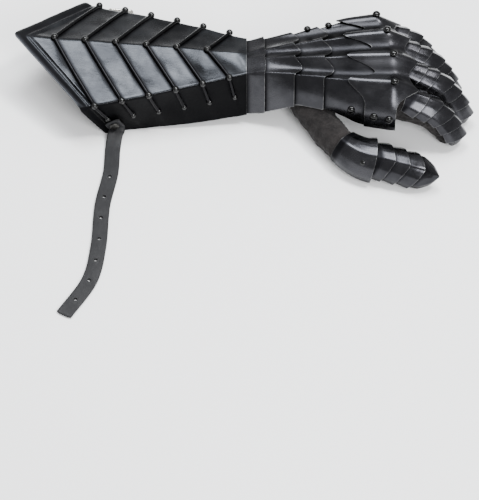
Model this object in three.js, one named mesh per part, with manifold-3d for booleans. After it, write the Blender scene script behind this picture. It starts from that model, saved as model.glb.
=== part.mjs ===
// Armoured gauntlet for the left hand, lying palm down.
//
// A flared steel cuff with raised ribs is followed by overlapping fluted lames, a knuckle plate and pointed
// scales down each digit. All of it is carried by a hollow leather glove. A strap hangs from the thumb side
// of the cuff, and its buckle from the other side.
//
// Millimetres. Hand frame: +X from the wrist to the fingertips, +Y towards the little finger, +Z out of the
// back of the hand, x = 0 at the front edge of the cuff. The whole gauntlet then leans on its fingertips and
// on the two lower corners of the cuff.

import * as THREE from 'three';
import { mergeVertices } from 'three/addons/utils/BufferGeometryUtils.js';
import Module from 'manifold-3d';

const wasm = await Module();
wasm.setup();

const { lerp, degToRad, smoothstep } = THREE.MathUtils;
const point = ( x, y, z ) => new THREE.Vector3( x, y, z );

// ---------------------------------------------------------------- driving dimensions

const STEEL = 1.2;			// plate thickness
const LEATHER = 2;			// glove wall thickness
const LEAN = degToRad( 5.5 );		// the fingertips stand this much lower than the cuff, in the hand frame

const RIB_COUNT = 6;
const STUD_RADIUS = 3.3;		// domed studs where a rib crosses a ridge of the cuff
const RIVET_RADIUS = 3.7;
const RIVET_HEIGHT = 2.8;

const STRAP_WIDTH = 14;
const STRAP_THICKNESS = 2.4;
const STRAP_HOLES = 7;
const STRAP_HOLE_PITCH = 25;
const STRAP_HOLE_RADIUS = 1.7;

// ---------------------------------------------------------------- materials

const blackened = new THREE.MeshStandardMaterial( { color: 0x2a2b2f, metalness: 1, roughness: 0.34 } );
const polished = new THREE.MeshStandardMaterial( { color: 0x3d3e42, metalness: 1, roughness: 0.28 } );
const nickel = new THREE.MeshStandardMaterial( { color: 0xb9b4a6, metalness: 1, roughness: 0.25 } );
const suede = new THREE.MeshStandardMaterial( { color: 0x171719, metalness: 0, roughness: 0.95 } );
const harness = new THREE.MeshStandardMaterial( { color: 0x333335, metalness: 0, roughness: 0.55 } );

// ---------------------------------------------------------------- closed meshes, booleans and offsets

// A closed mesh from points and triangles. All triangles are turned round if they face inwards.
function closedMesh( points, faces ) {

	let volume = 0;
	for ( let i = 0; i < faces.length; i += 3 ) {

		const [ a, b, c ] = [ points[ faces[ i ] ], points[ faces[ i + 1 ] ], points[ faces[ i + 2 ] ] ];
		volume += a.dot( b.clone().cross( c ) );

	}

	if ( volume < 0 ) faces.reverse();
	const geometry = new THREE.BufferGeometry().setFromPoints( points );
	geometry.setIndex( faces );
	return geometry;

}

// A curved plate between two grids of the same size, closed round its four borders.
function shell( outer, inner ) {

	const rows = outer.length;
	const columns = outer[ 0 ].length;
	const faces = [];
	const id = ( side, row, column ) => ( side * rows + row ) * columns + column;
	const quad = ( a, b, c, d ) => faces.push( a, b, c, a, c, d );

	for ( let r = 0; r < rows - 1; r ++ ) {

		for ( let c = 0; c < columns - 1; c ++ ) {

			quad( id( 0, r, c ), id( 0, r, c + 1 ), id( 0, r + 1, c + 1 ), id( 0, r + 1, c ) );
			quad( id( 1, r + 1, c ), id( 1, r + 1, c + 1 ), id( 1, r, c + 1 ), id( 1, r, c ) );

		}

		quad( id( 0, r, 0 ), id( 0, r + 1, 0 ), id( 1, r + 1, 0 ), id( 1, r, 0 ) );
		const last = columns - 1;
		quad( id( 0, r + 1, last ), id( 0, r, last ), id( 1, r, last ), id( 1, r + 1, last ) );

	}

	for ( let c = 0; c < columns - 1; c ++ ) {

		quad( id( 0, 0, c + 1 ), id( 0, 0, c ), id( 1, 0, c ), id( 1, 0, c + 1 ) );
		const last = rows - 1;
		quad( id( 0, last, c ), id( 0, last, c + 1 ), id( 1, last, c + 1 ), id( 1, last, c ) );

	}

	return closedMesh( [ ...outer.flat(), ...inner.flat() ], faces );

}

// A solid through closed rings of equal length. Each end is closed by a fan to its own middle, or to a tip.
function loft( rings, tip ) {

	const sides = rings[ 0 ].length;
	const last = rings.length - 1;
	const middle = ring => ring.reduce( ( sum, p ) => sum.add( p ), point( 0, 0, 0 ) ).divideScalar( sides );
	const points = [ ...rings.flat(), middle( rings[ 0 ] ), tip || middle( rings[ last ] ) ];
	const faces = [];
	for ( let s = 0; s < sides; s ++ ) {

		const next = ( s + 1 ) % sides;
		for ( let r = 0; r < last; r ++ ) {

			const [ a, b ] = [ r * sides + s, r * sides + next ];
			faces.push( a, b, b + sides, a, b + sides, a + sides );

		}

		faces.push( next, s, points.length - 2 );
		faces.push( last * sides + s, last * sides + next, points.length - 1 );

	}

	return closedMesh( points, faces );

}

function toSolid( geometry ) {

	const bare = geometry.index ? geometry.toNonIndexed() : geometry.clone();
	bare.deleteAttribute( 'normal' );
	bare.deleteAttribute( 'uv' );
	const merged = mergeVertices( bare, 1e-3 );
	return new wasm.Manifold( new wasm.Mesh( {
		numProp: 3,
		vertProperties: merged.attributes.position.array,
		triVerts: new Uint32Array( merged.index.array ),
	} ) );

}

function toGeometry( solid ) {

	const mesh = solid.getMesh();
	const geometry = new THREE.BufferGeometry();
	geometry.setAttribute( 'position', new THREE.BufferAttribute( mesh.vertProperties, mesh.numProp ) );
	geometry.setIndex( new THREE.BufferAttribute( mesh.triVerts, 1 ) );
	return geometry;

}

const joined = ( first, ...others ) => toGeometry( others.reduce( ( sum, g ) => sum.add( toSolid( g ) ), toSolid( first ) ) );
const cut = ( first, ...others ) => toGeometry( others.reduce( ( rest, g ) => rest.subtract( toSolid( g ) ), toSolid( first ) ) );

// A unit normal that two faces share at their common edge, lengthened so that both faces move out by one unit.
function mitre( a, b ) {

	const sum = a.clone().add( b ).normalize();
	return sum.divideScalar( Math.max( sum.dot( a ), 0.5 ) );

}

// A turned solid that stands on a surface at a place. Its profile gives [radius, height] from the axis at the
// bottom to the axis at the top.
function turned( profile, place, normal, sides = 6 ) {

	const solid = new THREE.LatheGeometry( profile.map( ( [ r, h ] ) => new THREE.Vector2( r, h ) ), sides );
	solid.rotateX( Math.PI / 2 );
	const turn = new THREE.Quaternion().setFromUnitVectors( point( 0, 0, 1 ), normal.clone().normalize() );
	return closedGeometry( solid.applyQuaternion( turn ).translate( place.x, place.y, place.z ) );

}

// A domed rivet head with a short plug into the plate under it.
function rivet( place, normal, radius = RIVET_RADIUS, height = RIVET_HEIGHT ) {

	const plug = 0.8;
	const dome = [ 0, 48 ].map( degToRad ).map( angle => [ radius * Math.cos( angle ), height * Math.sin( angle ) ] );
	return turned( [ [ 0, - plug ], [ radius, - plug ], ...dome, [ 0, height ] ], place, normal );

}

// The same shape with merged vertices and faces that point out.
function closedGeometry( geometry ) {

	geometry.deleteAttribute( 'normal' );
	geometry.deleteAttribute( 'uv' );
	const merged = mergeVertices( geometry, 1e-3 );
	const position = merged.attributes.position;
	const points = Array.from( { length: position.count }, ( _, i ) => new THREE.Vector3().fromBufferAttribute( position, i ) );
	const faces = [];
	for ( let i = 0; i < merged.index.count; i += 3 ) {

		const corner = [ 0, 1, 2 ].map( k => merged.index.getX( i + k ) );
		if ( new Set( corner ).size === 3 ) faces.push( ...corner );

	}

	return closedMesh( points, faces );

}

// The value of a column of a table at x, on straight lines between the table's rows. Values may be pairs.
function readTable( table, name, x ) {

	const last = table.length - 2;
	let i = table.findIndex( row => row.x > x ) - 1;
	if ( i < 0 ) i = x < table[ 0 ].x ? 0 : last;
	const [ a, b ] = [ table[ i ], table[ i + 1 ] ];
	const share = ( x - a.x ) / ( b.x - a.x );
	if ( Array.isArray( a[ name ] ) ) return a[ name ].map( ( value, k ) => lerp( value, b[ name ][ k ], share ) );
	return lerp( a[ name ], b[ name ], share );

}

// ---------------------------------------------------------------- cuff

// The cuff has four facets between five creases. Each crease runs from the wrist to the rim on a quadratic
// Bezier curve. The middle crease reaches furthest back, so the rim comes to a point.
const creases = {
	middle: [ [ 2, 0, 2.5 ], [ - 100, 0, 15 ], [ - 208, 0, 26 ] ],
	side: [ [ 2, 22.5, 0 ], [ - 70, 48.5, 1 ], [ - 147, 67.5, 0 ] ],
	lower: [ [ 2, 35, - 40 ], [ - 60, 48, - 43 ], [ - 126, 58, - 38 ] ],
};
const CUFF_RAISE = 0.5;			// the cuff's outer face stands this far above its creases
const LIP_SHARE = 0.965;		// the turned lip begins at this share of the way to the rim
const LIP_FLARE = 2.2;

function creasePoint( name, t, side ) {

	const [ a, b, c ] = creases[ name ];
	const at = k => ( 1 - t ) ** 2 * a[ k ] + 2 * t * ( 1 - t ) * b[ k ] + t ** 2 * c[ k ];
	return point( at( 0 ), side * at( 1 ), at( 2 ) );

}

// A place on the cuff. t runs from the wrist (0) to the rim (1). across runs from the thumb side's lower edge
// (-2) over the side crease (-1), the middle crease (0) and the far side crease (1) to the far lower edge (2).
function cuffBase( t, across ) {

	const side = Math.sign( across ) || 1;
	const share = Math.abs( across );
	if ( share <= 1 ) return creasePoint( 'middle', t, side ).lerp( creasePoint( 'side', t, side ), share );
	return creasePoint( 'side', t, side ).lerp( creasePoint( 'lower', t, side ), share - 1 );

}

function cuffFacetNormal( t, across, towards ) {

	const step = 0.02;
	const here = cuffBase( t, across );
	const along = cuffBase( t + step, across ).sub( here );
	const over = cuffBase( t, across + towards * step ).sub( here ).multiplyScalar( towards );
	return over.cross( along ).normalize();

}

function cuffPoint( t, across, raise ) {

	const onCrease = [ - 1, 0, 1 ].includes( across );
	const inwards = across > 0 ? - 1 : 1;
	const normal = onCrease
		? mitre( cuffFacetNormal( t, across, - 1 ), cuffFacetNormal( t, across, 1 ) )
		: cuffFacetNormal( t, across, inwards );
	return cuffBase( t, across ).addScaledVector( normal, raise );

}

const cuffAcross = [ - 2, - 1.5, - 1, - 0.5, 0, 0.5, 1, 1.5, 2 ];
const cuffRows = [ 0, 0.12, 0.26, 0.4, 0.54, 0.68, 0.82, LIP_SHARE, 1 ];
const lipRaise = t => t > LIP_SHARE ? LIP_FLARE : 0;
const cuffGrid = raise => cuffRows.map( t => cuffAcross.map( across => cuffPoint( t, across, raise + lipRaise( t ) ) ) );

const cuffShell = shell( cuffGrid( CUFF_RAISE ), cuffGrid( CUFF_RAISE - STEEL ) );

// The share of the way along a crease at which it has a given x.
function shareAt( name, x ) {

	let [ low, high ] = [ 0, 1 ];
	for ( let i = 0; i < 30; i ++ ) {

		const t = ( low + high ) / 2;
		if ( creasePoint( name, t, 1 ).x > x ) low = t;
		else high = t;

	}

	return ( low + high ) / 2;

}

// Rib i crosses the middle crease, the side creases and the lower edges at these x, evenly spaced.
const ribPlaces = i => ( {
	middle: - 34 - 27.5 * i,
	side: - 14 - 24 * i,
	lower: - 5 - 21.5 * i,
} );
const RIB_HALF_WIDTH = 3.3;		// along x, so about 2.4 square to the rib
const RIB_HEIGHT = 2.3;
const RIB_GAP = 0.4;
const RIB_END = 1.5;			// ribs stop half way down the lower facets
const studProfile = [ [ 0, 0 ], [ 0.96, 0 ], [ 0.78, 0.78 ], [ 0, 1.04 ] ];

function ribShare( i, across, shift ) {

	const place = ribPlaces( i );
	const [ middle, side, lower ] = [ 'middle', 'side', 'lower' ].map( name => shareAt( name, place[ name ] + shift ) );
	const far = Math.abs( across );
	return far <= 1 ? lerp( middle, side, far ) : lerp( side, lower, far - 1 );

}

function rib( i ) {

	const profile = [ [ - 1, 0.35 ], [ - 0.45, 1 ], [ 0.45, 1 ], [ 1, 0.35 ] ];
	const stops = [ - RIB_END, - 1, - 0.5, 0, 0.5, 1, RIB_END ];
	const grid = height => profile.map( ( [ shift, share ] ) => stops.map( across => cuffPoint(
		ribShare( i, across, shift * RIB_HALF_WIDTH ), across, CUFF_RAISE + RIB_GAP + height * share ) ) );
	const studs = [ - RIB_END, - 1, 0, 1, RIB_END ].map( across => {

		const radius = Math.abs( across ) === RIB_END ? STUD_RADIUS * 0.8 : STUD_RADIUS;
		const seat = cuffPoint( ribShare( i, across, 0 ), across, CUFF_RAISE + RIB_GAP + 0.25 );
		const above = cuffPoint( ribShare( i, across, 0 ), across, CUFF_RAISE + RIB_GAP + 1.25 );
		return turned( studProfile.map( ( [ r, h ] ) => [ r * radius, h * radius ] ), seat, above.sub( seat ) );

	} );
	return joined( shell( grid( RIB_HEIGHT ), grid( 0 ) ), ...studs );

}

// ---------------------------------------------------------------- back of the hand

// The base surface of the lames: [y, z] of its lower edges and of the four ridges that lead to the knuckles.
// flute is how deep the hollows between ridges are, and bulge how far the flanks swell.
const handBack = [
	{ x: - 14, nearEdge: [ - 38, - 40 ], index: [ - 27.5, 0 ], middle: [ - 3, 3.5 ], ring: [ 3, 3.5 ], little: [ 27.5, 0 ], farEdge: [ 38, - 40 ], flute: 0.1, bulge: 0 },
	{ x: 2, nearEdge: [ - 35, - 40 ], index: [ - 22.5, 0 ], middle: [ - 3, 2.5 ], ring: [ 3, 2.5 ], little: [ 22.5, 0 ], farEdge: [ 35, - 40 ], flute: 0.1, bulge: 0 },
	{ x: 18, nearEdge: [ - 36, - 37 ], index: [ - 22.5, 1 ], middle: [ - 6, 4.5 ], ring: [ 5, 4.5 ], little: [ 23.5, 1 ], farEdge: [ 36, - 39 ], flute: 0.8, bulge: 0.5 },
	{ x: 46, nearEdge: [ - 38, - 25 ], index: [ - 26, 2 ], middle: [ - 9, 8 ], ring: [ 7, 9 ], little: [ 26, 4 ], farEdge: [ 40, - 37 ], flute: 3, bulge: 2 },
	{ x: 74, nearEdge: [ - 45, - 24 ], index: [ - 31, 3 ], middle: [ - 12, 11 ], ring: [ 9, 13 ], little: [ 30, 8 ], farEdge: [ 46, - 35 ], flute: 4.4, bulge: 3 },
	{ x: 102, nearEdge: [ - 54, - 32 ], index: [ - 37, 4.5 ], middle: [ - 13.5, 13.5 ], ring: [ 11, 16 ], little: [ 34, 12 ], farEdge: [ 52, - 32 ], flute: 5.4, bulge: 5 },
	{ x: 132, nearEdge: [ - 58, - 34 ], index: [ - 39.5, 5.5 ], middle: [ - 14, 15 ], ring: [ 12.5, 18.5 ], little: [ 36.5, 14 ], farEdge: [ 54, - 28 ], flute: 6.5, bulge: 8 },
	{ x: 156, nearEdge: [ - 58, - 34 ], index: [ - 40, - 8 ], middle: [ - 14, 3 ], ring: [ 12.5, 6 ], little: [ 37, 1 ], farEdge: [ 54, - 28 ], flute: 3.5, bulge: 8 },
];
const KNUCKLE_X = 132;

// The knuckles stand on a slant, so everything between wrist and knuckles moves forward on the thumb's side
// and back on the little finger's side. The shift grows from nothing at the wrist.
function slanted( p ) {

	const shift = - 0.19 * p.y - 0.0032 * p.y * p.y;
	return p.setX( p.x + shift * Math.max( 0, p.x ) / KNUCKLE_X );

}

const FLANK_STEPS = 3;
const FLUTE_STEPS = 4;
const ridgeNames = [ 'index', 'middle', 'ring', 'little' ];

// Where each column of a plate lies: on which stretch, at what share of it, how deep in a hollow (0 to 1),
// and how far down a flank (0 to 1).
const backColumns = [];
for ( let i = 0; i < FLANK_STEPS; i ++ ) backColumns.push( { from: 'nearEdge', to: 'index', share: i / FLANK_STEPS, hollow: 0, flank: 1 - i / FLANK_STEPS, side: - 1 } );
for ( let gap = 0; gap < 3; gap ++ ) {

	for ( let i = 0; i < FLUTE_STEPS; i ++ ) {

		const share = i / FLUTE_STEPS;
		backColumns.push( { from: ridgeNames[ gap ], to: ridgeNames[ gap + 1 ], share, hollow: Math.sin( Math.PI * share ), flank: 0, side: 0 } );

	}

}

for ( let i = 0; i <= FLANK_STEPS; i ++ ) backColumns.push( { from: 'little', to: 'farEdge', share: i / FLANK_STEPS, hollow: 0, flank: i / FLANK_STEPS, side: 1 } );

function backSection( x ) {

	const flute = readTable( handBack, 'flute', x );
	const bulge = readTable( handBack, 'bulge', x );
	return backColumns.map( column => {

		const a = readTable( handBack, column.from, x );
		const b = readTable( handBack, column.to, x );
		const swell = bulge * Math.sin( Math.PI * column.share ) * column.side;
		return new THREE.Vector2(
			lerp( a[ 0 ], b[ 0 ], column.share ) + swell,
			lerp( a[ 1 ], b[ 1 ], column.share ) - flute * column.hollow );

	} );

}

// The point of a column at x, moved out square to the section by raise.
function backPoint( x, column, raise ) {

	const section = backSection( x );
	const normalOf = ( a, b ) => point( 0, a.y - b.y, b.x - a.x ).normalize();
	const here = section[ column ];
	const before = section[ column - 1 ] || here.clone().multiplyScalar( 2 ).sub( section[ column + 1 ] );
	const after = section[ column + 1 ] || here.clone().multiplyScalar( 2 ).sub( section[ column - 1 ] );
	const normal = mitre( normalOf( before, here ), normalOf( here, after ) );
	return slanted( point( x, here.x, here.y ).addScaledVector( normal, raise ) );

}

const columnAt = ( from, share ) => backColumns.findIndex( c => c.from === from && Math.abs( c.share - share ) < 0.01 );

// A plate on the back of the hand. start and end give the x of each column's ends, stops the rows between
// them, and raise the height of the outer face above the base surface.
function backPlate( start, end, stops, raise ) {

	const rows = stops.map( stop => backColumns.map( ( column, i ) => {

		const x = lerp( start( column ), end( column ), stop );
		return [ backPoint( x, i, raise( stop ) ), backPoint( x, i, raise( stop ) - STEEL ) ];

	} ) );
	return shell( rows.map( row => row.map( pair => pair[ 0 ] ) ), rows.map( row => row.map( pair => pair[ 1 ] ) ) );

}

// Each lame is tucked under the one nearer the wrist, and its front edge stands over the next one. Front edges
// come forward in the hollows by point.
const lames = [
	{ name: 'wrist_lame', start: - 9, end: 18, point: 1, tuck: 0.45, dip: - 1.7, front: 1.2 },
	{ name: 'hand_lame_1', start: 13, end: 44, point: 7, tuck: 0.06, dip: - 1.6, front: 1.3 },
	{ name: 'hand_lame_2', start: 38, end: 70, point: 9, tuck: 0.06, dip: - 1.5, front: 1.3 },
	{ name: 'hand_lame_3', start: 64, end: 108, point: 15, tuck: 0.04, dip: - 1.5, front: 1.2 },
];

// How far a lame's outer face stands above the base surface: it dips where it is tucked, then rises.
const lameRaise = ( { tuck, dip, front }, stop ) => lerp( dip, front, Math.max( 0, ( stop - tuck ) / ( 1 - tuck ) ) );

function lame( row ) {

	const stops = [ 0, row.tuck, ( 1 + row.tuck ) / 2, 1 ];
	return backPlate( () => row.start, column => row.end + row.point * column.hollow, stops, stop => lameRaise( row, stop ) );

}

// The knuckle plate lies over the last lame. Its rear edge reaches back along each ridge.
const KNUCKLE_RAISE = 3.1;
const knucklePlateStart = column => 88 + 27 * column.hollow + 19 * Math.min( 1, column.flank * 3 );
const knucklePlateEnd = column => 155 - 10 * column.hollow + ( column.side > 0 ? 6 : 0 ) - 19 * Math.min( 1, column.flank * 3 );

function knucklePlate() {

	const rows = [ 0, 0.35, 0.75, 1, 1.35, 1.7, 2 ].map( stop => backColumns.map( ( column, i ) => {

		const x = stop <= 1 ? lerp( knucklePlateStart( column ), KNUCKLE_X, stop ) : lerp( KNUCKLE_X, knucklePlateEnd( column ), stop - 1 );
		return [ backPoint( x, i, KNUCKLE_RAISE ), backPoint( x, i, KNUCKLE_RAISE - STEEL ) ];

	} ) );
	const plate = shell( rows.map( row => row.map( pair => pair[ 0 ] ) ), rows.map( row => row.map( pair => pair[ 1 ] ) ) );
	const crests = ridgeNames.map( name => rivet( backPoint( KNUCKLE_X, columnAt( name, 0 ), KNUCKLE_RAISE ), point( 0, 0, 1 ) ) );
	const flank = [ 116, 130 ].map( x => flankRivet( x, KNUCKLE_RAISE ) );
	return joined( plate, ...crests, ...flank );

}

// A rivet on the ridge that leads to the little finger.
function ridgeRivet( x, raise ) {

	const place = backPoint( x, columnAt( 'little', 0 ), raise );
	return rivet( place, point( - 0.05, 0.4, 1 ), RIVET_RADIUS * 0.9 );

}

// A rivet low on the thumb side's flank.
function flankRivet( x, raise ) {

	const column = 1;
	const place = backPoint( x, column, raise );
	const outwards = place.clone().sub( backPoint( x, column, raise - 1 ) );
	return rivet( place, outwards );

}

// ---------------------------------------------------------------- digits

// Each digit's middle line starts at a place and runs over three bones. turn is how far it bends down in
// degrees by the end of each bone's joint, splay how far it leans sideways, and roll how far its back leans.
const digits = {
	index: { start: [ 131, - 40, - 15 ], bones: [ 40, 22, 17 ], turns: [ 28, 55, 70 ], splay: - 2, roll: - 6, radius: 11.4, depth: 2.4, scales: 6 },
	middle: { start: [ 131, - 13.5, - 4.5 ], bones: [ 47, 28, 20 ], turns: [ 28, 56, 72 ], splay: - 1, roll: 0, radius: 9.8, depth: 1.6, scales: 7 },
	ring: { start: [ 131, 11.9, - 2.5 ], bones: [ 44, 26, 20 ], turns: [ 29, 57, 73 ], splay: 1, roll: 0, radius: 9.6, depth: 1.5, scales: 7 },
	little: { start: [ 131, 34.7, - 6 ], bones: [ 37, 22, 18 ], turns: [ 28, 58, 74 ], splay: 4, roll: 6, radius: 8.8, depth: 1.4, scales: 6 },
};
const JOINT_SPREAD = 11;			// each joint bends over this length either side of its centre

// The middle line of a finger: places, and the direction, back and side at each, every step millimetres.
function fingerLine( { start, bones, turns, splay, roll } ) {

	const step = 1;
	const total = bones[ 0 ] + bones[ 1 ] + bones[ 2 ];
	const joints = [ 4, bones[ 0 ], bones[ 0 ] + bones[ 1 ] ];
	const bends = turns.map( ( turn, i ) => turn - ( turns[ i - 1 ] || 0 ) );
	const line = [];
	const place = slanted( point( ...start ) );
	for ( let s = 0; s <= total; s += step ) {

		const turn = joints.reduce( ( sum, joint, i ) =>
			sum + bends[ i ] * smoothstep( s, joint - JOINT_SPREAD, joint + JOINT_SPREAD ), 0 );
		const pitch = new THREE.Matrix4().makeRotationY( degToRad( turn ) );
		const yaw = new THREE.Matrix4().makeRotationZ( degToRad( splay * smoothstep( s, 0, 12 ) ) );
		const lean = new THREE.Matrix4().makeRotationX( degToRad( - roll ) );
		const frame = yaw.multiply( pitch ).multiply( lean );
		const [ along, side, back ] = [ point(), point(), point() ];
		frame.extractBasis( along, side, back );
		line.push( { s, place: place.clone(), along, side, back } );
		place.addScaledVector( along, step );

	}

	return line;

}

// The thumb's middle line goes through these places, and its back faces up and away from the hand.
const thumbPlaces = [ [ 50, - 14, - 29 ], [ 67, - 43, - 38.8 ], [ 86, - 70, - 42.6 ], [ 105, - 84, - 45.6 ], [ 125, - 88, - 48 ], [ 148, - 93.5, - 51.5 ], [ 164, - 96, - 55.4 ] ];
const THUMB_BACK = point( 0.12, - 0.55, 0.82 ).normalize();
const THUMB_RADIUS = 13;
const THUMB_WIDTH = 1.22;		// the thumb is this much wider than it is high
const THUMB_DEPTH = 1.1;
const THUMB_PLATE = [ 72, 104 ];		// the base plate lies between these lengths along the thumb

function thumbLine() {

	const curve = new THREE.CatmullRomCurve3( thumbPlaces.map( p => point( ...p ) ) );
	const length = curve.getLength();
	const line = [];
	for ( let s = 0; s <= length; s += 1 ) {

		const along = curve.getTangentAt( s / length );
		const side = THUMB_BACK.clone().cross( along ).normalize();
		const back = along.clone().cross( side );
		line.push( { s, place: curve.getPointAt( s / length ), along, side: side.multiplyScalar( THUMB_WIDTH ), back } );

	}

	return line;

}

const frameAt = ( line, s ) => line[ Math.min( line.length - 1, Math.max( 0, Math.round( s ) ) ) ];

// A place round a digit: angle 0 is its back, and 90 degrees its side. depth stretches the palm's half.
function roundDigit( line, s, angle, radius, depth = 1 ) {

	const { place, side, back } = frameAt( line, s );
	const up = radius * Math.cos( angle );
	return place.clone().addScaledVector( back, up < 0 ? up * depth : up ).addScaledVector( side, radius * Math.sin( angle ) );

}

// A glove stall: its radius falls a little towards a blunt round end.
const STALL_SIDES = 9;

function stallLoft( line, radius, depth, inset, first = 0 ) {

	const last = line.length - 1;
	const stops = [ first, 10, 24, 36, 47, 58, 70, 84, 100, 118, 134 ].filter( s => s >= first && s < last - 9 );
	const ends = [ { s: last - 5, share: 0.93 }, { s: last - 0.5, share: 0.66 } ];
	const taper = s => 1 - 0.14 * s / last;
	const ringAt = ( s, share ) => Array.from( { length: STALL_SIDES }, ( _, i ) => {

		const angle = 2 * Math.PI * ( i + 0.5 ) / STALL_SIDES;
		return roundDigit( line, s, angle, radius * taper( s ) * share - inset, lerp( depth, 1.1, s / last ) );

	} );
	const rings = stops.map( s => ringAt( s, 1 ) );
	ends.forEach( end => rings.push( ringAt( end.s - inset, end.share ) ) );
	const end = frameAt( line, last );
	return loft( rings, end.place.clone().addScaledVector( end.along, 2.5 - inset ) );

}

// Scales: the section has a ridge along the back, and the front edge comes to a point on it.
const scaleSection = [ - 88, - 60, - 28, 0, 28, 60, 88 ].map( angle => ( {
	angle,
	swell: angle === 0 ? 1.15 : Math.abs( angle ) === 28 ? 1.04 : 1.01,
} ) );
const SCALE_STEEL = 1;
const SCALE_GAP = 0.4;
const SCALE_RISE = 2.5;			// a scale's front edge stands this much prouder than its rear edge
const SCALE_POINT = 5;
const SCALE_OVERLAP = 3.5;

function scale( line, radius, start, end, reach ) {

	const rows = [ 0, 0.5, 1 ].map( stop => scaleSection.map( ( { angle, swell } ) => {

		const turn = degToRad( angle );
		const front = end + reach * ( 1 - Math.abs( angle ) / 60 );
		const s = lerp( start, front, stop );
		const bore = ( radius * ( 1 - 0.14 * s / line.length ) + SCALE_GAP ) * swell + SCALE_RISE * stop;
		return [ roundDigit( line, s, turn, bore + SCALE_STEEL ), roundDigit( line, s, turn, bore ) ];

	} ) );
	return shell( rows.map( row => row.map( pair => pair[ 0 ] ) ), rows.map( row => row.map( pair => pair[ 1 ] ) ) );

}

// The last scale is a cap that closes over the end of the digit in a point.
function tipCap( line, radius, start, reach, shares = [ 1, 0.96, 0.72, 0.25 ] ) {

	const last = line.length - 1;
	const end = frameAt( line, last );
	const nose = end.place.clone().addScaledVector( end.along, reach ).addScaledVector( end.back, radius * 0.45 );
	const stops = [ 0, 0.5, 0.85, 1 ];
	const grid = extra => stops.map( ( stop, row ) => scaleSection.map( ( { angle, swell } ) => {

		const s = lerp( start, last + 1.5, stop );
		const bore = ( radius * ( 1 - 0.14 * s / line.length ) + SCALE_GAP ) * swell + 0.6 * stop + extra;
		const onRing = roundDigit( line, Math.min( s, last ), degToRad( angle ), bore );
		return onRing.lerp( nose.clone().addScaledVector( end.along, extra ), 1 - shares[ row ] );

	} ) );
	return shell( grid( SCALE_STEEL ), grid( 0 ) );

}

// ---------------------------------------------------------------- glove hand and sleeve

// Rings of the hand and sleeve: a rounded four-sided section, wider below than above.
const gloveRings = [
	{ x: - 98, middleY: 0, middleZ: - 16.5, halfWidth: 42, halfHeight: 16.5, spread: 0.08, tilt: 0 },
	{ x: - 60, middleY: 0, middleZ: - 18, halfWidth: 35, halfHeight: 16.5, spread: 0.12, tilt: 0 },
	{ x: - 25, middleY: 0, middleZ: - 20, halfWidth: 28, halfHeight: 16.5, spread: 0.16, tilt: 0 },
	{ x: 2, middleY: 0, middleZ: - 20.5, halfWidth: 24.5, halfHeight: 17, spread: 0.18, tilt: 0 },
	{ x: 30, middleY: 0, middleZ: - 20.5, halfWidth: 27.5, halfHeight: 18.5, spread: 0.14, tilt: 0 },
	{ x: 62, middleY: 0, middleZ: - 19.5, halfWidth: 33, halfHeight: 20, spread: 0.1, tilt: 0 },
	{ x: 96, middleY: - 1, middleZ: - 19, halfWidth: 42, halfHeight: 22.5, spread: 0.04, tilt: 0.05 },
	{ x: 116, middleY: - 1, middleZ: - 18.5, halfWidth: 46.5, halfHeight: 24, spread: 0.02, tilt: 0.1 },
	{ x: 130.4, middleY: - 1.5, middleZ: - 18, halfWidth: 49, halfHeight: 24.4, spread: 0.02, tilt: 0.1 },
];
const GLOVE_SIDES = 16;
const GLOVE_SQUARENESS = 3;

function gloveLoft( inset, from, to ) {

	const places = [ from, ...gloveRings.map( ring => ring.x ).filter( x => x > from && x < to ), to ];
	const power = 2 / GLOVE_SQUARENESS;
	return loft( places.map( x => {

		const [ y, z, wide, high, spread, tilt ] = [ 'middleY', 'middleZ', 'halfWidth', 'halfHeight', 'spread', 'tilt' ]
			.map( name => readTable( gloveRings, name, x ) );
		return Array.from( { length: GLOVE_SIDES }, ( _, i ) => {

			const angle = 2 * Math.PI * ( i + 0.5 ) / GLOVE_SIDES;
			const [ c, s ] = [ Math.cos( angle ), Math.sin( angle ) ];
			const [ across, up ] = [ Math.sign( c ) * Math.abs( c ) ** power, Math.sign( s ) * Math.abs( s ) ** power ];
			const side = ( wide - inset ) * across * ( 1 - spread * up );
			return slanted( point( x, y + side, z + ( high - inset ) * up + tilt * side ) );

		} );

	} ) );

}

// ---------------------------------------------------------------- assembly in the hand frame

const hand = new THREE.Group();

function place( name, geometry, material, group = hand ) {

	const mesh = new THREE.Mesh( geometry, material );
	mesh.name = name;
	group.add( mesh );
	return mesh;

}

place( 'cuff_plate', cuffShell, blackened );
for ( let i = 0; i < RIB_COUNT; i ++ ) place( `cuff_rib_${ i + 1 }`, rib( i ), blackened );

for ( const row of lames ) {

	const plate = lame( row );
	const rivets = [];
	if ( row.name === 'hand_lame_2' ) rivets.push( ridgeRivet( 61, lameRaise( row, 0.72 ) ) );
	if ( row.name === 'hand_lame_3' ) rivets.push( ridgeRivet( 82, lameRaise( row, 0.41 ) ), flankRivet( 95, lameRaise( row, 0.7 ) ) );
	place( row.name, rivets.length ? joined( plate, ...rivets ) : plate, polished );

}

place( 'knuckle_plate', knucklePlate(), polished );

const [ SLEEVE_X, FRONT_X ] = [ gloveRings[ 0 ].x, gloveRings[ gloveRings.length - 1 ].x ];

// The glove is sewn from a sleeve, a hand and the wall between the fingers, each [from, to] along X. A tube is
// open at both ends.
const SEAM_GAP = 0.3;
const WRIST_SEAM_X = - 12;
const sleevePart = [ SLEEVE_X, WRIST_SEAM_X ];
const handPart = [ WRIST_SEAM_X + SEAM_GAP, FRONT_X - LEATHER ];
const wallPart = [ FRONT_X - LEATHER + SEAM_GAP, FRONT_X ];
const gloveTube = ( [ from, to ], ...bores ) => cut( gloveLoft( 0, from, to ), gloveLoft( LEATHER, from - 1, to + 1 ), ...bores );
const handClearance = gloveLoft( - 0.4, SLEEVE_X, FRONT_X + 0.4 );

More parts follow.
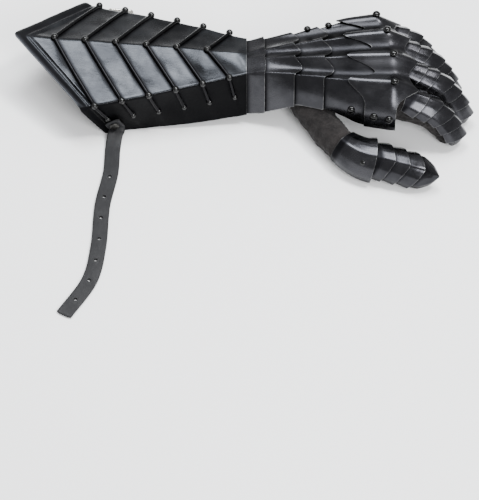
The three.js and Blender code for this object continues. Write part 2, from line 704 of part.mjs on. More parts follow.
const bores = [];
for ( const [ name, digit ] of Object.entries( digits ) ) {

	const line = fingerLine( digit );
	const bore = stallLoft( line, digit.radius, digit.depth, LEATHER );
	const start = frameAt( line, 0 );
	const mouth = new THREE.CylinderGeometry( digit.radius - LEATHER, digit.radius - LEATHER, 12, STALL_SIDES, 1 )
		.rotateZ( Math.PI / 2 ).translate( start.place.x - 3, start.place.y, start.place.z );
	bores.push( closedGeometry( mouth ) );
	place( `glove_${ name }`, cut( stallLoft( line, digit.radius, digit.depth, 0 ), bore, closedGeometry( mouth.clone() ), handClearance ), suede );

	const first = 11;
	const last = line.length - 1;
	const pitch = ( last - 9 - first ) / ( digit.scales - 1 );
	for ( let i = 0; i < digit.scales - 1; i ++ ) {

		const from = first + i * pitch - SCALE_OVERLAP;
		place( `${ name }_scale_${ i + 1 }`, scale( line, digit.radius, from, first + ( i + 1 ) * pitch, SCALE_POINT ), polished );

	}

	place( `${ name }_tip`, tipCap( line, digit.radius, last - 9 - SCALE_OVERLAP, 2 ), polished );

}

const thumb = thumbLine();
const thumbBore = stallLoft( thumb, THUMB_RADIUS, THUMB_DEPTH, LEATHER );
bores.push( thumbBore );
place( 'glove_thumb', cut( stallLoft( thumb, THUMB_RADIUS, THUMB_DEPTH, 0, 6 ), thumbBore, handClearance ), suede );
place( 'glove_sleeve', gloveTube( sleevePart ), suede );
place( 'glove_hand', gloveTube( handPart, ...bores ), suede );
place( 'glove_finger_wall', cut( gloveLoft( 0, ...wallPart ), ...bores ), suede );

const [ plateStart, plateEnd ] = THUMB_PLATE;
const basePlate = scale( thumb, THUMB_RADIUS + 0.3, plateStart, plateEnd, 1.5 );
const baseAngle = degToRad( - 22 );
const baseRaise = THUMB_RADIUS * 0.96 + SCALE_GAP + SCALE_RISE * 0.75;
const baseRivet = roundDigit( thumb, plateEnd - 8, baseAngle, baseRaise );
const baseOutwards = baseRivet.clone().sub( roundDigit( thumb, plateEnd - 8, baseAngle, baseRaise - 5 ) );
place( 'thumb_base_plate', joined( basePlate, rivet( baseRivet, baseOutwards ) ), polished );

const THUMB_SCALES = 3;
const thumbPitch = ( thumb.length - 12 - plateEnd ) / THUMB_SCALES;
for ( let i = 0; i < THUMB_SCALES; i ++ ) {

	const from = plateEnd + i * thumbPitch;
	place( `thumb_scale_${ i + 1 }`, scale( thumb, THUMB_RADIUS + 0.3, from - SCALE_OVERLAP, from + thumbPitch, SCALE_POINT ), polished );

}

place( 'thumb_tip', tipCap( thumb, THUMB_RADIUS + 0.3, thumb.length - 12 - SCALE_OVERLAP, 10, [ 1, 0.96, 0.58, 0.1 ] ), polished );

const model = new THREE.Group();
model.add( hand );
hand.rotation.y = - LEAN;
model.updateMatrixWorld( true );
const floor = new THREE.Box3().setFromObject( hand, true ).min.z;

// ---------------------------------------------------------------- strap and buckle, outside the lean

// The middle line of a strap that is riveted on the under facet of the cuff and bends out on to the floor.
// side is -1 for the thumb's side. Then the strap follows run: [x, distance out, height] on the floor.
function strapLine( side, x, run, step ) {

	const t = shareAt( 'lower', x );
	const onFacet = across => hand.localToWorld( cuffPoint( t, side * across, CUFF_RAISE + 1.1 + STRAP_THICKNESS / 2 ) );
	const [ high, low ] = [ onFacet( 1.56 ), onFacet( 1.84 ) ];
	const rest = floor + STRAP_THICKNESS / 2 + 0.25;
	const ground = run.map( ( [ rx, out, height ] ) => point( rx, side * out, rest + height ) );
	const bend = point( ( low.x + ground[ 0 ].x ) / 2, lerp( low.y, ground[ 0 ].y, 0.28 ), rest + 3.5 );
	const curve = new THREE.CatmullRomCurve3( [ high, high.clone().lerp( low, 0.5 ), low, bend, ...ground ], false, 'centripetal' );
	const count = Math.round( curve.getLength() / step );
	const crease = creasePoint( 'lower', t - 0.03, side ).sub( creasePoint( 'lower', t + 0.03, side ) ).normalize();
	return Array.from( { length: count + 1 }, ( _, i ) => {

		const along = curve.getTangentAt( i / count );
		const onFloor = point( Math.abs( along.y ), - Math.sign( along.y ) * along.x, 0 ).normalize();
		const flat = crease.clone().lerp( onFloor, smoothstep( i * step, 14, 50 ) );
		const across = flat.addScaledVector( along, - flat.dot( along ) ).normalize();
		const spot = curve.getPointAt( i / count );
		spot.z = Math.max( spot.z, rest );
		return { place: spot, along, across, normal: across.clone().cross( along ).multiplyScalar( side ) };

	} );

}

// A ribbon with a flat section along a line.
function ribbon( line, width, thickness ) {

	const grid = side => line.map( ( { place, across, normal } ) => [ - 0.5, 0.5 ].map( share =>
		place.clone().addScaledVector( across, share * width ).addScaledVector( normal, side * thickness / 2 ) ) );
	return shell( grid( 1 ), grid( - 1 ) );

}

const STRAP_X = - 112;
const strapRun = [ [ - 114, 79, 0 ], [ - 115, 110, 0 ], [ - 121, 150, 0 ], [ - 123, 200, 0 ], [ - 129, 238, 0 ], [ - 150, 280, 0 ] ];
const STRAP_STEP = 6;
const strapPath = strapLine( - 1, STRAP_X, strapRun, STRAP_STEP );
const strapHoles = Array.from( { length: STRAP_HOLES }, ( _, i ) => {

	const fromEnd = 20 + i * STRAP_HOLE_PITCH;
	const { x, y, z } = strapPath[ Math.round( strapPath.length - 1 - fromEnd / STRAP_STEP ) ].place;
	const hole = new THREE.CylinderGeometry( STRAP_HOLE_RADIUS, STRAP_HOLE_RADIUS, 20, 6 ).rotateX( Math.PI / 2 );
	return closedGeometry( hole.translate( x, y, z ) );

} );
place( 'strap', cut( ribbon( strapPath, STRAP_WIDTH, STRAP_THICKNESS ), ...strapHoles ), harness, model );

// The rivets that hold the strap and the buckle's tab are turned, with a flat disc head.
const discProfile = [ [ 0, 0 ], [ 4.2, 0 ], [ 4.2, 0.8 ], [ 3.4, 1.5 ], [ 0, 1.9 ] ];

function discRivet( { place: seat, normal } ) {

	return turned( discProfile, seat.clone().addScaledVector( normal, STRAP_THICKNESS / 2 + 0.4 ), normal );

}

place( 'strap_rivet', discRivet( strapPath[ 1 ] ), nickel, model );

// The buckle lies on the floor beyond the far side. Its tab bends round the bar nearest to the cuff.
const BUCKLE_OUT = 80;			// from the middle plane to that bar
const BUCKLE_SIZE = 24;
const BUCKLE_WIRE = 2.6;
const LOOP_RADIUS = 3.4;
const tabLoop = [ - 90, - 45, 0, 45, 90 ].map( degToRad ).map( angle => [
	STRAP_X, BUCKLE_OUT + LOOP_RADIUS * Math.cos( angle ), LOOP_RADIUS * ( 1 + Math.sin( angle ) ) ] );
const tabRun = [ [ STRAP_X, 68, 0 ], [ STRAP_X, 74, 0 ], ...tabLoop, [ STRAP_X, 76, 5.2 ], [ STRAP_X, 71, 2.9 ], [ STRAP_X, 68, 2.9 ] ];
const tabPath = strapLine( 1, STRAP_X, tabRun, 3 );
place( 'buckle_tab', ribbon( tabPath, STRAP_WIDTH, STRAP_THICKNESS ), harness, model );
place( 'buckle_rivet', discRivet( tabPath[ 2 ] ), nickel, model );

function squareFrame( size, wire ) {

	const outline = half => [ [ - 1, - 1 ], [ 1, - 1 ], [ 1, 1 ], [ - 1, 1 ] ].map( ( [ x, y ] ) => new THREE.Vector2( x * half, y * half ) );
	const shape = new THREE.Shape( outline( size / 2 ) );
	shape.holes.push( new THREE.Path( outline( size / 2 - wire ).reverse() ) );
	return new THREE.ExtrudeGeometry( shape, { depth: wire, bevelEnabled: false } ).translate( 0, 0, - wire / 2 );

}

const prongLength = BUCKLE_SIZE - 2 * LOOP_RADIUS - 1;
const prong = new THREE.BoxGeometry( BUCKLE_WIRE * 0.8, prongLength, BUCKLE_WIRE * 0.6 );
prong.translate( 0, BUCKLE_SIZE / 2 - prongLength / 2 - 0.3, 0 );
const barHeight = STRAP_THICKNESS / 2 + LOOP_RADIUS + 0.25;
const tilt = Math.asin( ( barHeight - BUCKLE_WIRE / 2 ) / ( BUCKLE_SIZE - BUCKLE_WIRE ) );
const buckle = joined( closedGeometry( squareFrame( BUCKLE_SIZE, BUCKLE_WIRE ) ), closedGeometry( prong ) );
buckle.translate( 0, BUCKLE_SIZE / 2 - BUCKLE_WIRE / 2, 0 ).rotateX( - tilt );
place( 'buckle', buckle.translate( STRAP_X, BUCKLE_OUT, floor + barHeight ), nickel, model );

model.updateMatrixWorld( true );

// The gauntlet stands on z = 0 with its origin under the middle of its box.
model.updateMatrixWorld( true );
const box = new THREE.Box3().setFromObject( model, true );
const middle = box.getCenter( point( 0, 0, 0 ) );
model.position.set( - middle.x, - middle.y, - box.min.z );

export default model;
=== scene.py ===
from math import asin, cos, pi, radians, sin, sqrt

import bmesh
import bpy
import numpy as np
from mathutils import Matrix


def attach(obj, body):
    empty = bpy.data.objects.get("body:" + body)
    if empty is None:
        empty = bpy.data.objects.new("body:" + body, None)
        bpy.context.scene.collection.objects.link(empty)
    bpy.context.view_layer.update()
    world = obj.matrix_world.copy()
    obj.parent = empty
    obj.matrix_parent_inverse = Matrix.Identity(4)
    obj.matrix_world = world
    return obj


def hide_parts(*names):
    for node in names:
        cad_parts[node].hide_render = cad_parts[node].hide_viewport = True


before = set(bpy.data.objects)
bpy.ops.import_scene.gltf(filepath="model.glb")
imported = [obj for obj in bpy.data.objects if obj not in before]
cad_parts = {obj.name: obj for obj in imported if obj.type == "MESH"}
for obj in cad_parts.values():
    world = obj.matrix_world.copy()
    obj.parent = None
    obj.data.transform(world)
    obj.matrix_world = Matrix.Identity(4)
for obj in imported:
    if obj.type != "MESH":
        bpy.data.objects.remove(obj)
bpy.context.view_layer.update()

# ---------------- suede glove
# The glove carries all the steel. It is black suede about 2 mm thick, cut as a back, a palm, finger walls and a
# thumb, and sewn along the sides of the digits. Its flared sleeve runs back inside the cuff.

LEAN = radians(5.5)
HAND_AT = np.array((-2.34283, 90.26509, 50.52095))
VOXEL, SUEDE = 0.0015, 0.0018  # metres: the step of the glove's skin, and its thickness
SLEEVE_END = -98
TAPER = 0.14  # the share of its radius that a digit loses towards its end
SEAM_TURN = 1.95  # where the seams run along a digit, as an angle from its back


def on_row_axes(points):
    """Millimetres in the hand's axes to metres on the object's: a turn by the lean about Y, then a shift."""
    x, y, z = np.moveaxis(np.asarray(points, float), -1, 0)
    leaned = np.stack([x * cos(LEAN) - z * sin(LEAN), y, x * sin(LEAN) + z * cos(LEAN)], -1)
    return (leaned + HAND_AT) / 1000


def eased(x, low, high):
    """0 below low, 1 above high, and 3u^2 - 2u^3 between them."""
    u = np.clip((x - low) / (high - low), 0, 1)
    return u * u * (3 - 2 * u)


def unit(v):
    """Each vector divided by its own length."""
    return v / np.linalg.norm(v, axis=-1, keepdims=True)


def bell(x, width):
    """exp(-(x / width)^2)"""
    return np.exp(-((x / width) ** 2))


def uneven(points, length, seed):
    """A soft value from about -1 to 1: 14 sine waves of about that length, each with its own direction and phase."""
    rng = np.random.default_rng(seed)
    waves = unit(rng.normal(size=(14, 3))) * (2 * pi / length) * rng.uniform(0.6, 1.5, (14, 1))
    return np.sin(points @ waves.T + rng.uniform(0, 2 * pi, 14)).sum(-1) / 4.2


def slanted(p):
    """The knuckles stand on a slant: x grows by (-0.19 y - 0.0032 y^2) times the share of the way to them."""
    p = np.array(p, float)
    p[..., 0] += (-0.19 * p[..., 1] - 0.0032 * p[..., 1] ** 2) * np.maximum(0, p[..., 0]) / 132
    return p


DIGIT_COLUMNS = ("start", "bones", "turns", "splay", "roll", "radius", "depth", "scales")
DIGITS = {name: dict(zip(DIGIT_COLUMNS, row)) for name, row in {
    "index": ((131, -40, -15), (40, 22, 17), (28, 55, 70), -2, -6, 11.4, 2.4, 6),
    "middle": ((131, -13.5, -4.5), (47, 28, 20), (28, 56, 72), -1, 0, 9.8, 1.6, 7),
    "ring": ((131, 11.9, -2.5), (44, 26, 20), (29, 57, 73), 1, 0, 9.6, 1.5, 7),
    "little": ((131, 34.7, -6), (37, 22, 18), (28, 58, 74), 4, 6, 8.8, 1.4, 6)}.items()}
THUMB_STOPS = ((50, -14, -29), (67, -43, -38.8), (86, -70, -42.6), (105, -84, -45.6), (125, -88, -48),
               (148, -93.5, -51.5), (164, -96, -55.4))


def finger_line(start, bones, turns, splay, roll):
    """A finger's middle line in 1 mm steps. The pitch is a sum of eased bends at the three joints, and each place is
    the one before plus the direction."""
    s = np.arange(0, sum(bones) + 1.0)
    pitch, before = np.zeros_like(s), 0
    for joint, turn in zip((4, bones[0], bones[0] + bones[1]), turns):
        pitch = pitch + (turn - before) * eased(s, joint - 11, joint + 11)
        before = turn
    a, b, c = np.radians(pitch), np.radians(splay * eased(s, 0, 12)), radians(-roll)
    along = np.stack([np.cos(a) * np.cos(b), np.cos(a) * np.sin(b), -np.sin(a)], -1)
    level = np.stack([-np.sin(b), np.cos(b), 0 * b], -1)
    top = np.cross(along, level)
    side, back = level * cos(c) + top * sin(c), top * cos(c) - level * sin(c)
    place = slanted(start) + np.vstack([np.zeros(3), np.cumsum(along, 0)[:-1]])
    return dict(s=s, place=place, along=along, side=side, back=back)


def smooth_path(stops, step):
    """A curve through the stops at even steps. Each stretch is a Hermite cubic whose end slopes weigh the stops round
    it by the square root of their distances."""
    p = np.asarray(stops, float)
    p = np.vstack([2 * p[0] - p[1], p, 2 * p[-1] - p[-2]])
    gap = np.sqrt(np.linalg.norm(np.diff(p, axis=0), axis=1))[:, None]
    a, b, c, d, g, h, k = p[:-3], p[1:-2], p[2:-1], p[3:], gap[:-2], gap[1:-1], gap[2:]
    leave = ((b - a) / g - (c - a) / (g + h) + (c - b) / h) * h
    arrive = ((c - b) / h - (d - b) / (h + k) + (d - c) / k) * h
    u = np.linspace(0, 1, 80, endpoint=False)[None, :, None]
    b, c, leave, arrive = (v[:, None] for v in (b, c, leave, arrive))
    curve = ((2 * u**3 - 3 * u**2 + 1) * b + (u**3 - 2 * u**2 + u) * leave
             + (3 * u**2 - 2 * u**3) * c + (u**3 - u**2) * arrive)
    curve = np.vstack([curve.reshape(-1, 3), p[-2]])
    run = np.concatenate([[0], np.cumsum(np.linalg.norm(np.diff(curve, axis=0), axis=1))])
    even = np.linspace(0, run[-1], int(round(run[-1] / step)) + 1)
    place = np.stack([np.interp(even, run, curve[:, i]) for i in range(3)], -1)
    return even, place, unit(np.gradient(place, axis=0))


def thumb_line():
    """The thumb's middle line. Its side is square to a fixed back direction, and 1.22 times as wide as its back."""
    s, place, along = smooth_path(THUMB_STOPS, 1)
    side = unit(np.cross((0.12, -0.55, 0.82), along))
    return dict(s=s, place=place, along=along, side=side * 1.22, back=np.cross(along, side))


def on_line(line, s, *names):
    """Values of a line at lengths s, straight between its 1 mm steps."""
    return [np.stack([np.interp(s, line["s"], line[name][:, i]) for i in range(3)], -1) for name in names]


def round_digit(line, s, angle, radius, depth=1.0):
    """Places round a digit: middle + back r cos(angle) + side r sin(angle), the palm's half stretched by depth."""
    s, angle, radius, depth = np.broadcast_arrays(s, angle, radius, depth)
    place, side, back = on_line(line, s, "place", "side", "back")
    up = radius * np.cos(angle)
    return place + back * np.where(up < 0, up * depth, up)[..., None] + side * (radius * np.sin(angle))[..., None]


def grid_quads(rows, columns, wrap=False):
    """Corner numbers of the quads of a grid of points. With wrap the last column meets the first."""
    r, c = np.meshgrid(np.arange(rows - 1), np.arange(columns if wrap else columns - 1), indexing="ij")
    n = (c + 1) % columns
    return np.stack([r * columns + c, r * columns + n, (r + 1) * columns + n, (r + 1) * columns + c], -1).reshape(-1, 4)


def lofted(rings):
    """A closed body through rings (rows, points, 3): quads between them, and a fan from each end ring to its middle."""
    rows, count = rings.shape[:2]
    points = np.vstack([rings.reshape(-1, 3), rings[0].mean(0), rings[-1].mean(0)])
    i = np.arange(count)
    near = np.stack([(i + 1) % count, i, np.full(count, rows * count)], -1)
    end = (rows - 1) * count
    far = np.stack([end + i, end + (i + 1) % count, np.full(count, rows * count + 1)], -1)
    return points, grid_quads(rows, count, True).tolist() + near.tolist() + far.tolist()


def gathered(parts):
    """Several (points, faces) bodies as one, with their corner numbers counted on."""
    points, faces, start = [], [], 0
    for p, f in parts:
        points.append(p)
        faces += [[k + start for k in face] for face in f]
        start += len(p)
    return np.vstack(points), faces


def stall(line, radius, depth, first=0.0):
    """A digit's leather: r (1 - TAPER s / length), the palm's half deeper, with a round end over the last 9 mm."""
    last = line["s"][-1]
    s = np.concatenate([np.linspace(first, last - 9, 40), last - 9 + 11 * np.sin(np.linspace(0, pi / 2, 12))[1:]])
    end = np.sqrt(np.clip(1 - (np.maximum(0, s - last + 9) / 11.3) ** 2, 0, 1))
    angle = np.linspace(0, 2 * pi, 36, endpoint=False)
    radii, depths = radius * (1 - TAPER * s / last) * end, depth + (1.1 - depth) * s / last
    rings = round_digit(line, s[:, None], angle, radii[:, None], depths[:, None])
    along = on_line(line, s, "along")[0]
    return rings + (along * np.maximum(0, s - last)[:, None])[:, None]


GLOVE_RINGS = np.array([  # x, middle y, middle z, half width, half height, how much wider below, tilt
    (-110, 0, -16.2, 44, 16.5, .08, 0), (-98, 0, -16.5, 42, 16.5, .08, 0), (-60, 0, -18, 35, 16.5, .12, 0),
    (-25, 0, -20, 28, 16.5, .16, 0), (2, 0, -20.5, 24.5, 17, .18, 0), (30, 0, -20.5, 27.5, 18.5, .14, 0),
    (62, 0, -19.5, 33, 20, .1, 0), (96, -1, -19, 42, 22.5, .04, .05), (116, -1, -18.5, 46.5, 24, .02, .1),
    (130.4, -1.5, -18, 49, 24.4, .02, .1)])


def glove_hand():
    """Rings of a superellipse of power 3: y = a |cos|^(2/3) (1 - spread up), z = b |sin|^(2/3) + tilt y."""
    x = np.linspace(-104, 130.4, 118)
    y, z, wide, high, spread, tilt = (np.interp(x, GLOVE_RINGS[:, 0], GLOVE_RINGS[:, i])[:, None] for i in range(1, 7))
    angle = np.linspace(0, 2 * pi, 72, endpoint=False)
    across, up = (np.sign(v) * np.abs(v) ** (2 / 3) for v in (np.cos(angle), np.sin(angle)))
    side = wide * across * (1 - spread * up)
    return slanted(np.stack([x[:, None] + 0 * side, y + side, z + high * up + tilt * side], -1))


def new_mesh(name, points, faces):
    """A mesh from points and faces."""
    mesh = bpy.data.meshes.new(name)
    mesh.from_pydata(points, [], faces)
    return mesh


def linked(name, data):
    """An object of a mesh, light or camera, linked into the scene."""
    made = bpy.data.objects.new(name, data)
    bpy.context.scene.collection.objects.link(made)
    return made


def point_values(mesh, label, values):
    """A number on each point of a mesh, which its material reads by the label."""
    mesh.attributes.new(label, "FLOAT", "POINT").data.foreach_set("value", values)


def evaluated(piece):
    """A new mesh of a piece with its modifiers applied."""
    bpy.context.view_layer.update()
    return bpy.data.meshes.new_from_object(piece.evaluated_get(bpy.context.evaluated_depsgraph_get()))


lines = {name: finger_line(*(d[k] for k in DIGIT_COLUMNS[:5])) for name, d in DIGITS.items()}
thumb = thumb_line()
stalls = [stall(lines[n], d["radius"], d["depth"]) for n, d in DIGITS.items()] + [stall(thumb, 13, 1.1, 6)]
points, faces = gathered([lofted(rings) for rings in [glove_hand()] + stalls])
pattern = linked("glove_pattern", new_mesh("glove_pattern", points / 1000, faces))
remesh = pattern.modifiers.new("one skin", "REMESH")
remesh.mode, remesh.voxel_size = "VOXEL", VOXEL
skin = evaluated(pattern)
bpy.data.objects.remove(pattern)
work = bmesh.new()
work.from_mesh(skin)
bmesh.ops.bisect_plane(work, geom=work.verts[:] + work.edges[:] + work.faces[:], plane_co=(SLEEVE_END / 1000, 0, 0),
                       plane_no=(-1, 0, 0), clear_outer=True)
work.to_mesh(skin)
work.free()

at = np.empty(len(skin.vertices) * 3)
skin.vertices.foreach_get("co", at)
at = at.reshape(-1, 3) * 1000
edges = np.empty(len(skin.edges) * 2, int)
skin.edges.foreach_get("vertices", edges)
a, b = edges.reshape(-1, 2).T
count = np.bincount(np.concatenate([a, b]), minlength=len(at))[:, None]


def relaxed(values):
    """Each value half way to the mean of its neighbours' values."""
    total = np.zeros_like(values)
    np.add.at(total, a, values[b])
    np.add.at(total, b, values[a])
    return (values + total / count) / 2


rim = at[:, 0] < SLEEVE_END + 0.1
for _ in range(7):
    at = np.where(rim[:, None], at, relaxed(at))
skin.vertices.foreach_set("co", (at / 1000).ravel())
skin.update()
out = np.empty(len(at) * 3)
skin.vertices.foreach_get("normal", out)
out = out.reshape(-1, 3)


def nearest_on(line, points):
    """For each point the length along a line at its nearest step, the angle round it and the distance from it."""
    gap = ((points[:, None] - line["place"][None]) ** 2).sum(-1)
    k = gap.argmin(1)
    rest = points - line["place"][k]
    side, back = unit(line["side"])[k], line["back"][k]
    return line["s"][k], np.arctan2((rest * side).sum(-1), (rest * back).sum(-1)), np.sqrt(gap.min(1))


# How far the skin stands out: slack, a ridge and two grooves at each seam, folds at the joints, the hem and the wrist
lift = 0.5 * uneven(at * (1, 1.4, 1.4), 17, 3) + 0.28 * uneven(at, 7, 4)
seam = np.zeros(len(at))
for name, line in list(lines.items()) + [("thumb", thumb)]:
    radius = DIGITS[name]["radius"] if name in DIGITS else 14
    s, angle, away = nearest_on(line, at)
    near = (away < radius * 2.4) & (s > (10 if name in DIGITS else 45)) & (s < line["s"][-1] - 3)
    for turn in (SEAM_TURN, -SEAM_TURN):
        off = (angle - turn) * radius
        lift += np.where(near, 0.55 * bell(off, 0.9) - 0.3 * bell(np.abs(off) - 2.2, 1.1), 0)
        seam = np.maximum(seam, np.where(near, bell(off, 0.8), 0))
    bones = DIGITS[name]["bones"] if name in DIGITS else (58, 28, 20)
    for joint in (bones[0], bones[0] + bones[1]):
        folds = 0.6 * bell(s - joint, 9) * (1 - np.cos((s - joint) * 1.1 + uneven(at, 20, 5)))
        lift -= np.where(near & (np.abs(angle) > 1.2), folds, 0) * 0.6
lift += 0.8 * bell(at[:, 0] + 92, 1.4) * (at[:, 0] < -80)
lift -= 0.9 * bell(at[:, 0] - 6, 16) * (0.5 + 0.5 * np.sin(at[:, 0] * 0.75 + 1.5 * uneven(at, 25, 9)))
at = at + out * lift[:, None]
skin.vertices.foreach_set("co", on_row_axes(at).ravel())
point_values(skin, "seam", seam)
skin.name = "suede_glove"
glove = linked("suede_glove", skin)
skin.shade_smooth()
wall = glove.modifiers.new("suede wall", "SOLIDIFY")
wall.thickness, wall.offset = SUEDE, -1


def effect(name, *wants):
    """A node group, still empty, with its inputs from rows of (name, kind, first value) and its three outputs."""
    tree = bpy.data.node_groups.new(name, "ShaderNodeTree")
    gives = (("Colour", "Color"), ("Roughness", "Float"), ("Height", "Float"))
    for direction, rows in (("INPUT", wants), ("OUTPUT", gives)):
        for label, kind, *first in rows:
            socket = tree.interface.new_socket(label, in_out=direction, socket_type="NodeSocket" + kind)
            if first:
                socket.default_value = first[0]
    return tree, tree.nodes.new("NodeGroupInput").outputs, tree.nodes.new("NodeGroupOutput").inputs


def put(tree, kind, inputs=None, **settings):
    """A node with its settings and inputs. An input is a value or another node's socket."""
    made = tree.nodes.new("ShaderNode" + kind)
    for key, value in settings.items():
        setattr(made, key, value)
    for key, value in (inputs or {}).items():
        if isinstance(value, bpy.types.NodeSocket):
            tree.links.new(value, made.inputs[key])
        else:
            made.inputs[key].default_value = value
    return made


def sums(operation, *values):
    """The result socket of a Math node, clamped nowhere, in the tree of its values."""
    tree = next(v.id_data for v in values if isinstance(v, bpy.types.NodeSocket))
    return put(tree, "Math", dict(enumerate(values)), operation=operation).outputs[0]


def times(value, factor):
    """A value multiplied by another."""
    return sums("MULTIPLY", value, factor)


def plus(value, more):
    """A value with another added."""
    return sums("ADD", value, more)


def ranged(value, low, high, to_low=0.0, to_high=1.0):
    """A value carried from one range to another, smoothly and clamped."""
    limits = {"Value": value, "From Min": low, "From Max": high, "To Min": to_low, "To Max": to_high}
    return put(value.id_data, "MapRange", limits, interpolation_type="SMOOTHSTEP").outputs[0]


def tinted(share, first, second, blend="MIX"):
    """Two colours mixed by a share."""
    return put(share.id_data, "Mix", {0: share, 6: first, 7: second}, data_type="RGBA", blend_type=blend).outputs[2]


def speckle(tree, scale, detail=3.0, rough=0.5, stretch=(1, 1, 1)):
    """Noise on the piece's own coordinates, in lumps per metre, drawn out by stretch."""
    place = put(tree, "TexCoord").outputs["Object"]
    if stretch != (1, 1, 1):
        place = put(tree, "Mapping", {"Vector": place, "Scale": stretch}).outputs[0]
    return put(tree, "TexNoise", {"Vector": place, "Scale": scale, "Detail": detail, "Roughness": rough}).outputs[0]


def new_material(name, **fixed):
    """A material with its tree and its Principled shader, whose constant sockets are set from fixed."""
    material = bpy.data.materials.new(name)
    material.use_nodes = True
    shader = material.node_tree.nodes["Principled BSDF"]
    for key, value in fixed.items():
        shader.inputs[key.replace("_", " ")].default_value = value
    return material, material.node_tree, shader


def given(give, **results):
    """Ties results to the outputs of a node group."""
    for label, result in results.items():
        result.id_data.links.new(result, give[label])


def finish(name, group, values, marks, strength, distance, **fixed):
    """A material from a node group, whose inputs are set by values or read, for marks, from the mesh's points."""
    material, tree, shader = new_material(name, **fixed)
    made = put(tree, "Group", node_tree=group)
    for label, value in values.items():
        made.inputs[label].default_value = value
    for label in marks:
        tree.links.new(put(tree, "Attribute", attribute_name=label.lower()).outputs["Fac"], made.inputs[label])
    tree.links.new(made.outputs["Colour"], shader.inputs["Base Color"])
    tree.links.new(made.outputs["Roughness"], shader.inputs["Roughness"])
    bump = put(tree, "Bump", {"Height": made.outputs["Height"], "Strength": strength, "Distance": distance})
    tree.links.new(bump.outputs[0], shader.inputs["Normal"])
    return material


def dressed(piece, slot, *nodes):
    """Sets a piece on the one body, in place of the solids named, which it hides. slot is not used."""
    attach(piece, "root")
    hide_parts(*nodes)
    return piece


nap, want, give = effect("suede nap", ("Dark", "Color"), ("Light", "Color"), ("Seam", "Float"))
brushed = ranged(speckle(nap, 38, 5, 0.62), 0.36, 0.66)
fibre = speckle(nap, 1300, 3, 0.7)
flecks = ranged(speckle(nap, 420, 4, 0.75), 0.42, 0.68)
shade = plus(times(brushed, 0.7), times(flecks, 0.35))
colour = tinted(sums("MINIMUM", shade, 1.0), want["Dark"], want["Light"])
given(give, Colour=tinted(times(want["Seam"], 0.75), colour, (0.004, 0.004, 0.004, 1)),
      Height=plus(times(fibre, 0.6), times(flecks, 0.5)), Roughness=sums("SUBTRACT", 0.98, times(brushed, 0.12)))
suede_colours = {"Dark": (0.0038, 0.0034, 0.0035, 1), "Light": (0.018, 0.0155, 0.015, 1)}
suede = finish("black_suede", nap, suede_colours, ["Seam"], 0.8, 0.0007, Sheen_Weight=0.14, Sheen_Roughness=0.6,
               Sheen_Tint=(0.35, 0.34, 0.34, 1), Specular_IOR_Level=0.12)
glove.data.materials.append(suede)
dressed(glove, "suede", *(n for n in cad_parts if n.startswith("glove_")))

# ---------------- cuff plate
# One sheet of blackened steel, folded along a middle crease and two side creases so that it stands open below.
# It flares towards the rim, where a narrow lip is turned outwards.

STEEL = 1.2
CREASES = {"middle": ((2, 0, 2.5), (-100, 0, 15), (-208, 0, 26)),
           "side": ((2, 22.5, 0), (-70, 48.5, 1), (-147, 67.5, 0)),
           "lower": ((2, 35, -40), (-60, 48, -43), (-126, 58, -38))}
CUFF_FACE = 0.5  # from the folded sheet's middle to its outer face
RIB_ROWS = {"middle": (-34, -27.5), "side": (-14, -24), "lower": (-5, -21.5)}  # x of the first rib, and the step
LIP_START, LIP_END, LIP_RISE, DISH = 0.945, 0.99, 2.2, 1.4
FAR_OFF = 9.0  # a distance to the border at which no wear shows


def crease(name, t):
    """A quadratic Bezier curve: (1-t)^2 a + 2t(1-t) b + t^2 c."""
    p, q, r = np.array(CREASES[name], float)
    t = np.asarray(t, float)[..., None]
    return (1 - t) ** 2 * p + 2 * t * (1 - t) * q + t**2 * r


def cuff_base(t, across):
    """The folded sheet: straight between creases at one t. across is 0 on the middle crease, 1 on a side crease and 2
    on a lower edge, and negative towards the thumb."""
    t, across = np.broadcast_arrays(np.asarray(t, float), np.asarray(across, float))
    far = np.abs(across)[..., None]
    side = crease("side", t)
    above, below = crease("middle", t) * (1 - far) + side * far, side * (2 - far) + crease("lower", t) * (far - 1)
    p = np.where(far <= 1, above, below)
    p[..., 1] *= np.where(across < 0, -1, 1)
    return p


def cuff_normal(t, across):
    """The sheet's outward normal, the mean over a short way to both sides so that it turns softly at a crease."""
    total = 0
    for shift in (-0.03, 0.0, 0.03):
        there = np.clip(np.asarray(across, float) + shift, -1.97, 1.97)
        down = cuff_base(t + 0.01, there) - cuff_base(t - 0.01, there)
        over = cuff_base(t, there + 0.02) - cuff_base(t, there - 0.02)
        total = total + unit(np.cross(over, down))
    return unit(total)


def share_at(name, x):
    """The t at which a crease has each x, read back from a fine table."""
    t = np.linspace(0, 1, 801)
    return np.interp(-np.asarray(x, float), -crease(name, t)[:, 0], t)


def rib_share(i, across):
    """The t of rib i: straight between its places on the middle crease, the side crease and the lower edge."""
    middle, side, lower = (share_at(name, first + step * i) for name, (first, step) in RIB_ROWS.items())
    far = np.abs(across)
    return np.where(far <= 1, middle + (side - middle) * far, side + (lower - side) * (far - 1))


def softened(grid, passes, axis=1):
    """Each inner point of every row goes to (before + 2 own + after) / 4, several times."""
    grid = np.swapaxes(np.array(grid), axis, 1)
    for _ in range(passes):
        grid[:, 1:-1] = (grid[:, :-2] + 2 * grid[:, 1:-1] + grid[:, 2:]) / 4
    return np.swapaxes(grid, axis, 1)


def facing(grid):
    """Outward unit normals of a grid of points: minus the cross product of its two differences."""
    return -unit(np.cross(np.gradient(grid, axis=0), np.gradient(grid, axis=1)))


